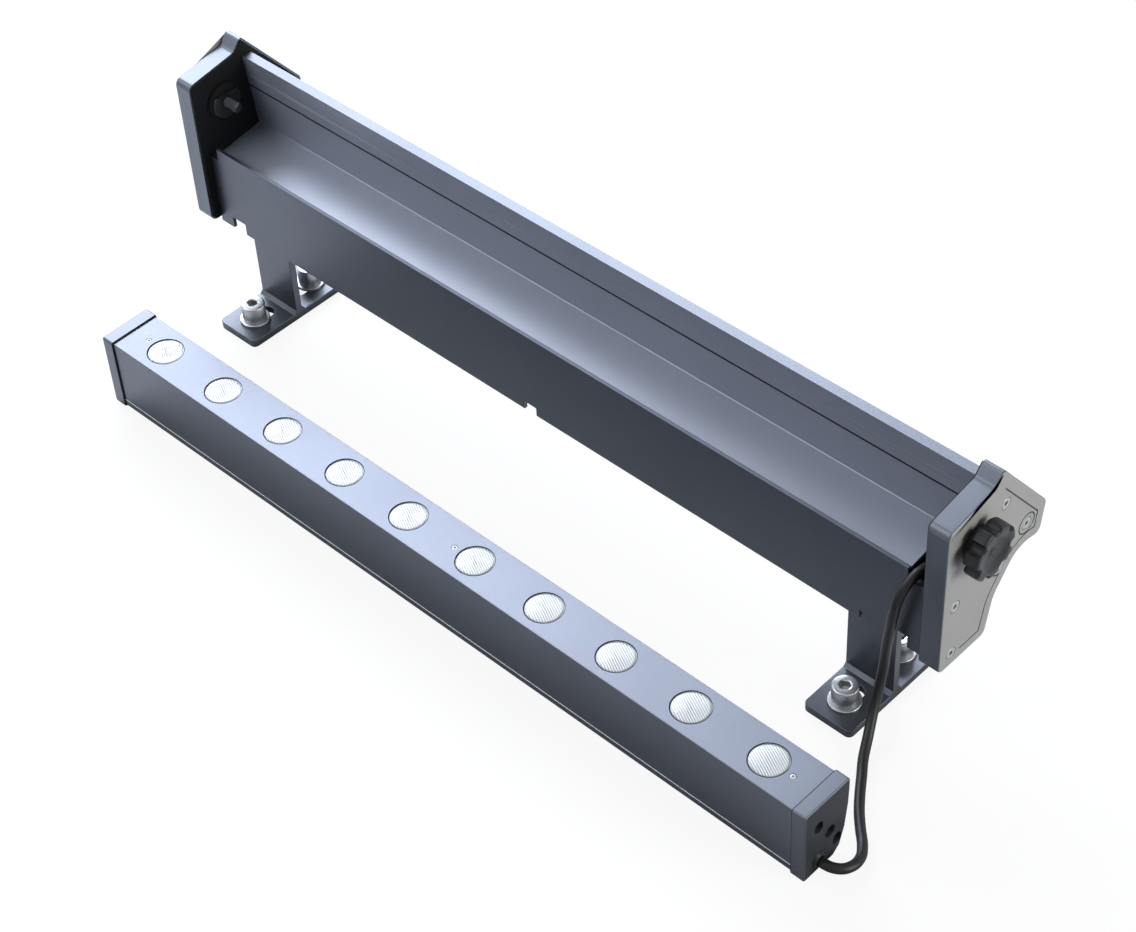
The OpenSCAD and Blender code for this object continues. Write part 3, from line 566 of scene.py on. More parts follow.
# Painted highlight: a light colour for the thin rods along the bar's base seam.
BAR_HIGHLIGHT_PAINT = AnodisedExtrusion("bright-cut bar edge", "bar_coat", colour="#C4C7CC", shadow="#B7BABF", metallic=0.4)
# Painted light: the plates' outer faces are the same anodised metal as the rims, painted lighter and warmer for the
# lamp that falls on them.
PLATE = BlastedAluminium("bead-blasted die-cast aluminium", "plate_coat")
PLATE_RIM = BlastedAluminium("anodised die-cast rim", "plate_coat", colour="#656A72", shadow="#5B6068",
                             roughness=0.38, metallic=0.66, specular=0.15)
# Painted shade: the floor of the end plate's groove is painted dark, where shade falls in the recess.
GROOVE_SHADE_PAINT = BlastedAluminium("anodised groove floor", "plate_coat", colour="#2E3033", shadow="#292B2E", metallic=0.1)
PLATE_SCREW = TurnedSteel("passivated turned steel", "bright_steel", colour="#A2A3A1", roughness=0.5)
BRIGHT_STEEL = TurnedSteel("zinc-plated turned steel", "bright_steel")
# Painted shade: the bar's cap screws are bright steel painted dark, for the shade deep in their slots.
SHADED_SCREW_PAINT = TurnedSteel("oiled turned steel", "bright_steel", colour="#54575B", roughness=0.45)
DARK_STEEL = TurnedSteel("blackened turned steel", "dark_steel", colour="#3E4042", roughness=0.42)
RUBBER = MouldedPolymer("moulded EPDM rubber", "rubber", colour="#0C0D0E", fade="#111213", roughness=0.7, ior=1.52,
                        specular=0.15)
NYLON = MouldedPolymer("moulded glass-filled nylon", "knob_plastic", colour="#0C0D0E", fade="#111213", roughness=0.44,
                       specular=0.3)
BLACK_NYLON = MouldedPolymer("moulded black nylon", "black_plastic", colour="#161718", fade="#1D1E20", roughness=0.45,
                             specular=0.35)
DRIVER_CASE = MouldedPolymer("moulded ABS case", "driver_case", colour="#C4C3BE", fade="#CDCCC8", roughness=0.5)
SOLDER_MASK = MouldedPolymer("glass-epoxy board with white mask", "board_white", colour="#E4E5E2", fade="#EDEEEB",
                             roughness=0.35, depth=0.1)
LENS = RibbedAcrylic("moulded ribbed acrylic", "lens_glass")
SHEATH = CableSheath("extruded PVC cable sheath", "cable_rubber")


def finish_piece(piece: bpy.types.Object, look: Finish, body: Body, *nodes: str) -> bpy.types.Object:
    """Dresses a piece, names the nodes it stands for and sets it on its body.

    Args:
        piece: The new object.
        look: Its finish.
        body: Body that it rides on.
        nodes: Model nodes that it replaces.

    Returns:
        The piece.
    """
    if nodes:
        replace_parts(piece, *nodes)
    look.on(piece)
    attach(piece, body.value)
    log.info("%s rides on %s", piece.name, body.value)
    return piece


def part_finish(piece: bpy.types.Object, look: Finish, axis: int, sign: int,
                limits: dict[int, tuple[float, float]] | None = None) -> None:
    """Gives the faces of a piece that look one way a finish of their own.

    A face is chosen when its normal's share along the axis is above 0.9 and its middle lies within
    the limits.

    Args:
        piece: A dressed piece.
        look: The finish of the chosen faces.
        axis: 0, 1 or 2 for X, Y or Z.
        sign: 1 for faces that look along the axis, -1 for those that look against it.
        limits: Lowest and highest place of a face's middle on an axis, in millimetres.
    """
    mesh = piece.data
    mesh.materials.append(look.material())
    index = np.empty(len(mesh.polygons), int)
    mesh.polygons.foreach_get("material_index", index)
    normals, middles = np.empty(len(mesh.polygons) * 3), np.empty(len(mesh.polygons) * 3)
    mesh.polygons.foreach_get("normal", normals)
    mesh.polygons.foreach_get("center", middles)
    chosen = normals.reshape(-1, 3)[:, axis] * sign > 0.9
    for other, (low, high) in (limits or {}).items():
        place = middles.reshape(-1, 3)[:, other] / MM
        chosen &= (place > low) & (place < high)
    index[chosen] = len(mesh.materials) - 1
    mesh.polygons.foreach_set("material_index", index)


@dataclass
class Housing:
    """Folded housing between two end plates, with the driver behind its trough."""

    plate_out: float = 250.0
    screw_places: tuple[tuple[float, float], ...] = ((52.04, 127.3), (69.9, 101.5), (52.0, 89.25), (20.1, 88.2), (20.1, 58.1))
    screw_head_r: float = 3.05
    screw_head_h: float = 1.9
    screw_r: float = 1.7
    screw_len: float = 24.0
    screw_hex: float = 1.1
    screw_hex_h: float = 1.1
    groove_deep: float = 0.5
    shell_x: float = 237.9
    corner: tuple[float, float] = (52.05, 93.95)
    wall_z: tuple[float, float] = (95.0, 150.0)
    split: tuple[float, float] = (49.4459, 119.5)
    split_gap: float = 0.7
    seal_proud: float = 0.12
    bead_r: float = 0.42

    def build(self) -> None:
        """Builds the shells, plates, gaskets and plate screws."""
        self.bead()
        # The black strip in the split is painted shade.
        self.split_seal()
        finish_piece(softened("front_cover", "front_cover_skin", 0.5), PROFILE, Body.HOUSING)
        # The trough gets the lighter copy of the profile's finish: painted light.
        finish_piece(softened("trough", "trough_skin", 0.35), TROUGH_PAINTED_LIGHT, Body.HOUSING)
        shell = finish_piece(softened("rear_shell", "rear_shell_skin", 0.4), REAR, Body.HOUSING)
        # So does the rear shell's front-facing wall: painted light.
        part_finish(shell, TROUGH_PAINTED_LIGHT, 1, -1, {1: (40, 60), 2: self.wall_z})
        for side in Side:
            plate = finish_piece(softened(f"end_plate_{side.word}", f"end_plate_{side.word}_casting", 0.15),
                                 PLATE_RIM, Body.HOUSING)
            # The outer face gets the lighter copy: painted light.
            part_finish(plate, PLATE, 0, side.value)
            # The groove's floor gets the dark copy: painted shade.
            floor = side.value * (self.plate_out - self.groove_deep)
            part_finish(plate, GROOVE_SHADE_PAINT, 0, side.value, {0: (floor - 0.1, floor + 0.1)})
            self.screws(side)
        self.dress_hidden()

    def bead(self) -> None:
        """Thin light rod along the corner of the trough's floor and back wall: it catches the lamps, and its light
        colour paints a highlight line.
        """
        rod = np.array([(0, 0), (self.bead_r, 0), (self.bead_r, 2 * self.shell_x), (0, 2 * self.shell_x)])
        shell = turned(rod, (-self.shell_x, *self.corner), (1, 0, 0), 16)
        finish_piece(make_mesh("trough_corner_bead", shell), HIGHLIGHT_BEAD_PAINT, Body.HOUSING)

    def split_seal(self) -> None:
        """Black strip in the split of the back wall, painted shade for the dark gap: a slot's section carried along the
        light.
        """
        y, z = self.split
        section = np.array([(y - self.seal_proud, z - 0.1), (y - self.seal_proud, z + self.split_gap + 0.1),
                            (y + 1.2, z + self.split_gap - 0.08), (y + 1.2, z + 0.08)])
        ends = np.array([-self.shell_x, -self.shell_x, self.shell_x, self.shell_x])
        grid = np.stack([np.column_stack([np.full(4, x), section * size + section.mean(0) * (1 - size)])
                         for x, size in zip(ends, (0, 1, 1, 0))])
        finish_piece(make_mesh("split_seal_strip", grid_shell(grid)), RUBBER, Body.HOUSING)

    def screw_profile(self) -> np.ndarray:
        """Half section of a countersunk screw with a hexagon socket, from the tip to the socket's floor.

        Returns:
            Rows of (radius, height, hexagon share).
        """
        top, head = self.screw_len, self.screw_len - self.screw_head_h
        return filleted([
            (0, 0, 0, 0), (self.screw_r, 0, 0.4, 0), (self.screw_r, head, 0, 0),
            (self.screw_head_r, top - 0.2, 0.1, 0), (self.screw_head_r, top, 0.15, 0),
            (self.screw_hex + 0.55, top, 0.05, 0), (self.screw_hex, top - 0.12, 0, 1),
            (self.screw_hex, top - self.screw_hex_h, 0, 1), (0, top - self.screw_hex_h - 0.4, 0, 1)], 3)

    def screws(self, side: Side) -> None:
        """Screws of one end plate, as one piece.

        Args:
            side: End of the light.
        """
        profile = self.screw_profile()
        start = side.value * (self.plate_out - self.screw_len)
        shells = [turned(profile, (start, y, z), (side.value, 0, 0), 36) for y, z in self.screw_places]
        finish_piece(make_mesh(f"plate_screws_{side.word}_countersunk", fused(shells)), PLATE_SCREW, Body.HOUSING,
                     f"plate_screws_{side.word}")

    def dress_hidden(self) -> None:
        """Finishes the model's own nodes that stay as they are."""
        nodes = frame["nodes"]
        RUBBER.on(nodes["gasket_left"], nodes["gasket_right"])
        DRIVER_CASE.on(nodes["driver"])
        BLACK_NYLON.on(nodes["terminal_block"])


@dataclass
class Clamp:
    """Clamp in one end plate: a friction ring and a flatted washer on a threaded shank."""

    side: Side
    y: float = 30.699
    z: float = 121.0
    plate_out: float = 250.0
    shell_x: float = 238.0
    gap: float = 0.3
    shank_r: float = 3.0
    tip_r: float = 1.6
    pitch: float = 1.0
    thread_depth: float = 0.45
    ring_t: float = 3.0
    ring_r: float = 10.0
    washer_t: float = 1.5
    washer_r: float = 9.0
    flat_share: float = 0.3

    def placed(self, rows: np.ndarray, angle: np.ndarray, radius: np.ndarray) -> np.ndarray:
        """Grid round the clamp's axis.

        Args:
            rows: Distance of each ring from the middle of the light.
            angle: Angles round the axis.
            radius: Radius at each ring and angle.

        Returns:
            Points of shape (rings, angles, 3).
        """
        x = np.repeat(self.side.value * rows[:, None], len(angle), 1)
        return np.stack([x, self.y + radius * np.cos(angle), self.z + radius * np.sin(angle)], -1)

    def thread(self, free: float, inner: float) -> Shell:
        """Threaded shank: the radius falls and rises with height over pitch less the share of a turn.

        Args:
            free: Length of the shank beyond the washer.
            inner: Distance of the shank's other end from the middle of the light.

        Returns:
            Its surface, from the tip outwards.
        """
        tip = self.shell_x - self.ring_t - self.washer_t - free
        length = inner - tip
        angle = np.linspace(0, 2 * np.pi, 36, endpoint=False)
        heights = np.linspace(0, length, int(length / self.pitch * 8) + 1)
        turn = heights[:, None] / self.pitch - angle[None] / (2 * np.pi)
        wave = np.abs(2 * (turn - np.floor(turn + 0.5)))
        radius = self.shank_r - self.thread_depth * np.clip((heights[:, None] - 0.4) / 1.2, 0, 1) * wave
        rounding = np.clip(1 - heights[:, None] / self.tip_r, 0, 1)
        radius = radius - self.tip_r * (1 - np.sqrt(1 - rounding ** 2)) * 0.8
        radius = np.vstack([np.zeros((1, 36)), radius, np.zeros((1, 36))])
        rows = tip + np.concatenate([[0], heights, [length]])
        return grid_shell(self.placed(rows, angle, radius), rows - tip)

    def rings(self) -> None:
        """Rubber friction ring, and the steel washer with one flat that keeps it from turning."""
        s, word = self.side.value, self.side.word
        start = s * (self.shell_x - self.ring_t)
        bore = self.shank_r + 0.08
        ring = filleted([(bore, 0, 0), (self.ring_r - 0.2, 0, 0.7), (self.ring_r, self.ring_t / 2, 0.3),
                         (self.ring_r, self.ring_t, 0), (bore, self.ring_t, 0), (bore, 0, 0)], 4)
        finish_piece(make_mesh(f"friction_ring_{word}_moulded", turned(ring, (start, self.y, self.z), (s, 0, 0), 64)),
                     RUBBER, Body.HOUSING, f"friction_ring_{word}")
        washer = filleted([(bore, 0, 0), (self.washer_r, 0, 0.35), (self.washer_r, self.washer_t, 0.2),
                           (bore, self.washer_t, 0), (bore, 0, 0)], 3)
        shell = turned(washer, (start - s * self.washer_t, self.y, self.z), (s, 0, 0), 96)
        flat = self.z + self.flat_share * 2 * self.washer_r
        shell.points[:, 2] = np.minimum(shell.points[:, 2], flat)
        finish_piece(make_mesh(f"clamp_washer_{word}_flatted", shell), DARK_STEEL, Body.HOUSING,
                     f"clamp_washer_{word}")


@dataclass
class BoltClamp(Clamp):
    """Left clamp, drawn up by a socket bolt."""

    head_r: float = 5.0
    head_h: float = 6.0
    hexagon: float = 2.5
    hexagon_h: float = 3.0
    free: float = 9.0

    def build(self) -> None:
        """Builds the bolt, the ring and the washer."""
        self.rings()
        face = self.plate_out + self.gap
        head = filleted([
            (self.shank_r - self.thread_depth, 0, 0, 0), (self.head_r, 0, 0.2, 0), (self.head_r, self.head_h, 0.7, 0),
            (self.hexagon + 0.7, self.head_h, 0.1, 0), (self.hexagon, self.head_h - 0.3, 0, 1),
            (self.hexagon, self.head_h - self.hexagon_h, 0, 1), (0, self.head_h - self.hexagon_h - 0.5, 0, 1)], 4)
        s = self.side.value
        shell = turned(head, (s * face, self.y, self.z), (s, 0, 0), 60)
        finish_piece(make_mesh("clamp_bolt_socket", fused([shell, self.thread(self.free, face + 0.6)]), 40),
                     DARK_STEEL, Body.BOLT, "clamp_bolt")


@dataclass
class KnobClamp(Clamp):
    """Right clamp, drawn up by hand with a seven-lobed star grip."""

    grip_r: float = 14.0
    scallop_r: float = 3.0
    scallop_at: float = 14.5
    lobes: int = 7
    grip_t: float = 8.0
    neck_r: float = 8.5
    neck_t: float = 3.0
    edge: float = 1.5
    dish_r: float = 9.5
    dish_h: float = 1.6
    free: float = 1.5

    def build(self) -> None:
        """Builds the grip, its stud, the ring and the washer."""
        self.rings()
        self.grip()
        finish_piece(make_mesh("knob_stud_right_thread", self.thread(self.free, self.plate_out + self.gap + 0.95), 60),
                     DARK_STEEL, Body.KNOB, "knob_stud_right")

    def lobed(self, angle: np.ndarray) -> np.ndarray:
        """Radius of the grip's outline.

        A scallop's circle has its centre outside the grip. Along a ray at angle a from the scallop's
        middle, the circle's near side lies at d cos a - sqrt(r^2 - d^2 sin^2 a), with d the distance
        of its centre and r its radius. The outline is the smaller of that and the grip's radius,
        joined by a soft minimum.

        Args:
            angle: Angles round the axis, from +Y towards +Z.

        Returns:
            The radius at each angle.
        """
        step = 2 * np.pi / self.lobes
        a = (angle + np.pi / 2) % step - step / 2
        inside = self.scallop_r ** 2 - (self.scallop_at * np.sin(a)) ** 2
        near = self.scallop_at * np.cos(a) - np.sqrt(np.maximum(inside, 0))
        near = np.where(inside > 0, near, self.grip_r + 3)
        sharp = 1.9
        return -np.log(np.exp(-sharp * near) + np.exp(-sharp * self.grip_r)) / sharp

    def grip(self) -> None:
        """Star grip: rings of radius a + b L(angle), with L the lobed outline and b 0 on the hub."""
        base = self.plate_out + self.gap
        back, out = base + self.neck_t, base + self.neck_t + self.grip_t
        turn = np.linspace(0, np.pi / 2, 6)
        rows = [(0.0, 0, base + 1.0), (self.shank_r + 0.05, 0, base + 1.0), (self.shank_r + 0.05, 0, base),
                (self.neck_r - 0.4, 0, base), (self.neck_r, 0, base + 0.4), (self.neck_r, 0, back - 0.6),
                (self.neck_r + 0.6, 0, back)]
        rows += [(-self.edge * (1 - math.sin(t)), 1, back + self.edge * (1 - math.cos(t))) for t in turn]
        rows += [(-self.edge * (1 - math.cos(t)), 1, out - self.edge * (1 - math.sin(t))) for t in turn]
        dish = np.linspace(0, 1, 7)
        rows += [(self.dish_r + 0.3, 0, out), (self.dish_r, 0, out - 0.12)]
        # The dish is a shallow bowl: its depth rises with the sine of the share of the way in
        rows += [(self.dish_r * (1 - 0.55 * float(q)), 0, out - 0.12 - (self.dish_h - 0.12) * math.sin(q * math.pi / 2))
                 for q in dish[1:]]
        rows += [(2.6, 0, out - self.dish_h), (2.3, 0, out - self.dish_h + 0.2), (0.0, 0, out - self.dish_h + 0.25)]
        table = np.array(rows)
        angle = np.linspace(0, 2 * np.pi, 196, endpoint=False)
        radius = table[:, :1] + table[:, 1:2] * self.lobed(angle)[None]
        finish_piece(make_mesh("knob_grip_right_star", grid_shell(self.placed(table[:, 2], angle, radius)), 40), NYLON,
                     Body.KNOB, "knob_grip_right")


@dataclass
class Foot:
    """Slotted foot at one end, with its anchor screws, washers and the screws up into the housing."""

    side: Side
    x: float = 205.0
    anchor_ys: tuple[float, float] = (4.4, 45.0)
    base_t: float = 4.4
    washer_t: float = 1.6
    washer_r: float = 8.2
    shank_r: float = 4.0
    head_r: float = 6.5
    head_h: float = 10.0
    hexagon: float = 2.5
    hexagon_h: float = 4.0
    fixing_x: float = 9.0
    fixing_y: float = 32.95
    fixing_top: float = 55.5
    fixing_under: float = 48.5
    fixing_head_r: float = 4.5
    fixing_head_h: float = 3.6

    def build(self) -> None:
        """Builds the foot and all its fasteners."""
        word = self.side.word
        finish_piece(softened(f"foot_{word}", f"foot_{word}_bracket", 0.5), BRACKET, Body.HOUSING)
        for place, y in zip(("front", "rear"), self.anchor_ys):
            at = (self.side.value * self.x, y, 0.0)
            finish_piece(make_mesh(f"anchor_screw_{place}_{word}_socket", self.cap_screw(at)), BRIGHT_STEEL,
                         Body.HOUSING, f"anchor_screw_{place}_{word}")
            finish_piece(make_mesh(f"anchor_washer_{place}_{word}_plain", self.washer(at)), BRIGHT_STEEL,
                         Body.HOUSING, f"anchor_washer_{place}_{word}")
        self.fixings()

    def cap_screw(self, at: tuple[float, float, float]) -> Shell:
        """Socket cap screw: shank, rounded head, chamfered hexagon socket.

        Args:
            at: Point on the ground under the screw.

        Returns:
            Its surface.
        """
        base = self.base_t + self.washer_t
        top = base + self.head_h
        profile = filleted([
            (0, 0.1, 0, 0), (self.shank_r, 0.1, 0.8, 0), (self.shank_r, base, 0, 0), (self.head_r, base, 0.2, 0),
            (self.head_r, top, 0.9, 0), (self.hexagon + 0.85, top, 0.1, 0), (self.hexagon, top - 0.35, 0, 1),
            (self.hexagon, top - self.hexagon_h, 0, 1), (0, top - self.hexagon_h - 0.8, 0, 1)], 4)
        return turned(profile, at, (0, 0, 1), 60)

    def washer(self, at: tuple[float, float, float]) -> Shell:
        """Plain washer with one rounded edge, as punching leaves it.

        Args:
            at: Point on the ground under the washer.

        Returns:
            Its surface.
        """
        bore = self.shank_r + 0.05
        profile = filleted([(bore, 0, 0), (self.washer_r, 0, 0.15), (self.washer_r, self.washer_t, 0.45),
                            (bore, self.washer_t, 0), (bore, 0, 0)], 4)
        return turned(profile, (at[0], at[1], self.base_t), (0, 0, 1), 64)

    def fixings(self) -> None:
        """The two screws up through the foot's top flange, heads down, as one piece."""
        low = self.fixing_under - self.fixing_head_h
        profile = filleted([
            (0, low + 2.2, 0, 1), (1.5, low + 1.8, 0, 1), (1.5, low + 0.2, 0, 1), (1.95, low, 0.05, 0),
            (self.fixing_head_r, low, 0.9, 0), (self.fixing_head_r, self.fixing_under, 0.2, 0),
            (2.5, self.fixing_under, 0, 0), (2.5, self.fixing_top, 0.3, 0), (0, self.fixing_top, 0, 0)], 4)
        shells = [turned(profile, (self.side.value * self.x + e * self.fixing_x, self.fixing_y, 0), (0, 0, 1), 40)
                  for e in (-1, 1)]
        finish_piece(make_mesh(f"foot_fixings_{self.side.word}_socket", fused(shells)), DARK_STEEL, Body.HOUSING,
                     f"foot_fixings_{self.side.word}")


@dataclass
class LensBar:
    """Lens bar on the ground: profile, base strip, caps, lenses, seals and gland."""

    y: float = -69.4
    top: float = 43.6
    left: float = -216.5
    right: float = 254.5
    lens_x0: float = -183.5
    pitch: float = 45.0
    count: int = 10
    lens_r: float = 9.6
    lens_lift: float = 0.3
    dome: float = 0.5
    foot_r: float = 5.5
    board_top: float = 34.4
    rib: float = 1.15
    rib_h: float = 0.2
    rib_turn: float = -0.46
    seal_w: float = 0.22
    top_screw_x: tuple[float, ...] = (-197.0, 28.0, 235.0)
    cap_screws: tuple[tuple[float, float], ...] = ((-5.738, 30.1), (7.097, 10.413))
    cap_half: float = 14.2
    body: tuple[float, float] = (-208.2, 246.2)
    base_h: float = 5.0
    lip_r: float = 0.3
    lip_ys: tuple[float, float] = (-14.2, 8.95)
    gland_y: float = -74.99
    gland_z: float = 7.57

    def build(self) -> None:
        """Builds every piece of the bar."""
        finish_piece(softened("bar_profile", "bar_profile_skin", 0.35), BAR_PROFILE, Body.BAR)
        finish_piece(softened("bar_base", "bar_base_skin", 0.3), BAR_PROFILE, Body.BAR)
        for side in Side:
            self.cap(side)
            self.screws(side)
        for i in range(self.count):
            self.lens(i)
        self.seals()
        self.lip()
        self.small_screws()
        self.gland()
        nodes = frame["nodes"]
        RUBBER.on(nodes["bar_gasket_left"], nodes["bar_gasket_right"])
        SOLDER_MASK.on(nodes["led_board"])

    def cap(self, side: Side) -> None:
        """End cap, whose end face and holes are painted darker than its rim: painted shade.

        Args:
            side: End of the bar.
        """
        cap = finish_piece(softened(f"bar_cap_{side.word}", f"bar_cap_{side.word}_milled", 0.15), BAR_CAP, Body.BAR)
        # The outward end face gets the darker copy: painted shade.
        part_finish(cap, CAP_END_SHADE_PAINT, 0, side.value, {1: (self.y - self.cap_half, self.y + self.cap_half)})

    def lens(self, number: int) -> None:
        """One lens: a dome with ribs on top, a straight wall, and a cone down to its narrow foot.

        Height of the face is the dome, which falls with the square of the radius, plus half a
        rectified sine of the distance across the ribs over their pitch, faded out towards the rim.

        Args:
            number: Place along the bar, from 0.
        """
        face_r = np.linspace(0, self.lens_r - 0.35, 34)
        angle = np.linspace(0, 2 * np.pi, 132, endpoint=False)
        radius = face_r[:, None] * np.ones_like(angle)[None]
        across = radius * np.sin(angle - self.rib_turn)
        crest = np.abs(np.sin(np.pi * across / self.rib)) * np.clip((self.lens_r - 0.5 - radius) / 0.8, 0, 1)
        low = self.top - self.lens_lift
        height = low + self.dome * (1 - (radius / self.lens_r) ** 2) - self.rib_h * (1 - crest)
        rim = np.array([(self.lens_r - 0.1, low - 0.1), (self.lens_r, low - 0.4), (self.lens_r, self.top - 4.2),
                        (self.foot_r, self.board_top), (0.0, self.board_top)])
        radius = np.vstack([radius, np.repeat(rim[:, :1], len(angle), 1)])
        height = np.vstack([height, np.repeat(rim[:, 1:], len(angle), 1)])
        centre = self.lens_x0 + number * self.pitch
        grid = np.stack([centre + radius * np.cos(angle), self.y + radius * np.sin(angle), height], -1)
        shell = grid_shell(grid)
        # The crest share also darkens the colour in the hollows between the ribs: painted shade.
        shell.lathe[:crest.size] = crest.reshape(-1)
        shell.lathe[crest.size:] = 0.5
        finish_piece(make_mesh(f"lens_{number + 1:02d}_ribbed", shell, 50), LENS, Body.BAR, f"lens_{number + 1:02d}")

    def seals(self) -> None:
        """Black seals in the gaps round the lenses.

        A seal's inner edge is a circle moved back from the lens's middle, so the seal is widest at the front:
        that black crescent is a painted shadow of the recess.
        """
        low = self.top - self.lens_lift
        angle = np.linspace(0, 2 * np.pi, 96, endpoint=False)
        unit = np.stack([np.cos(angle), np.sin(angle)], -1)
        outer = unit * (self.lens_r + 0.18)
        # Moving the inner circle back paints a shadow crescent at the front.
        inner = unit * (self.lens_r - self.seal_w) + [0, self.seal_w * 0.8]
        shells = []
        for i in range(self.count):
            rings = [(inner, low - 0.9), (inner, low + 0.16), (outer, low + 0.1), (outer, low - 0.9), (inner, low - 0.9)]
            grid = np.stack([np.column_stack([ring, np.full(len(angle), z)]) for ring, z in rings])
            shells.append(grid_shell(grid + [self.lens_x0 + i * self.pitch, self.y, 0]))
        finish_piece(make_mesh("lens_seals", fused(shells)), RUBBER, Body.BAR)

    def lip(self) -> None:
        """Thin light rods where the base strip meets the profile, on the front and on the back: they catch the lamps,
        and their light colour paints a highlight line.
        """
        low, high = self.body
        rod = np.array([(0, 0), (self.lip_r, 0), (self.lip_r, high - low), (0, high - low)])
        shells = [turned(rod, (low, self.y + y, self.base_h), (1, 0, 0), 12) for y in self.lip_ys]
        finish_piece(make_mesh("bar_base_lips", fused(shells)), BAR_HIGHLIGHT_PAINT, Body.BAR)

    def small_screws(self) -> None:
        """Set screws flush in the bar's top."""
        profile = filleted([(0, self.top - 5, 0, 0), (1.45, self.top - 5, 0.2, 0), (1.45, self.top - 0.1, 0.3, 0),
                            (0.75, self.top - 0.1, 0, 0), (0.6, self.top - 0.2, 0, 1), (0.6, self.top - 0.7, 0, 1),
                            (0, self.top - 0.8, 0, 1)], 3)
        shells = [turned(profile, (x, self.y, 0), (0, 0, 1), 30) for x in self.top_screw_x]
        finish_piece(make_mesh("bar_top_screws_set", fused(shells)), PLATE_SCREW, Body.BAR, "bar_top_screws")

    def screws(self, side: Side) -> None:
        """Cap screws at one end, sunk in their slots.

        Args:
            side: End of the bar.
        """
        end = self.right if side is Side.RIGHT else self.left
        s = side.value
        profile = filleted([(0, -16, 0, 0), (1.5, -16, 0.3, 0), (1.5, -2.4, 0, 0), (2.7, -2.4, 0.1, 0), (2.7, 0, 0.7, 0),
                            (1.45, 0, 0.05, 0), (1.25, -0.2, 0, 1), (1.25, -1.4, 0, 1), (0, -1.7, 0, 1)], 3)
        shells = [turned(profile, (end - s * 3.0, self.y + y, z), (s, 0, 0), 36) for y, z in self.cap_screws]
        # The screws deep in their slots get the darker steel: painted shade.
        finish_piece(make_mesh(f"bar_cap_screws_{side.word}_socket", fused(shells)), SHADED_SCREW_PAINT, Body.BAR,
                     f"bar_cap_screws_{side.word}")

    def gland(self) -> None:
        """Cable gland in the right cap: a ribbed collar with a rounded mouth round the cable."""
        profile = filleted([(2.45, -8.0, 0), (3.95, -8.0, 0), (3.95, 0.2, 0), (3.75, 0.4, 0.1), (3.75, 0.8, 0.1),
                            (3.5, 1.0, 0.1), (3.5, 1.5, 0.3), (2.55, 1.5, 0.25), (2.45, -8.0, 0)], 3)
        shell = turned(profile, (self.right, self.gland_y, self.gland_z), (1, 0, 0), 48)
        finish_piece(make_mesh("bar_gland_collar", shell), BLACK_NYLON, Body.BAR, "bar_gland")


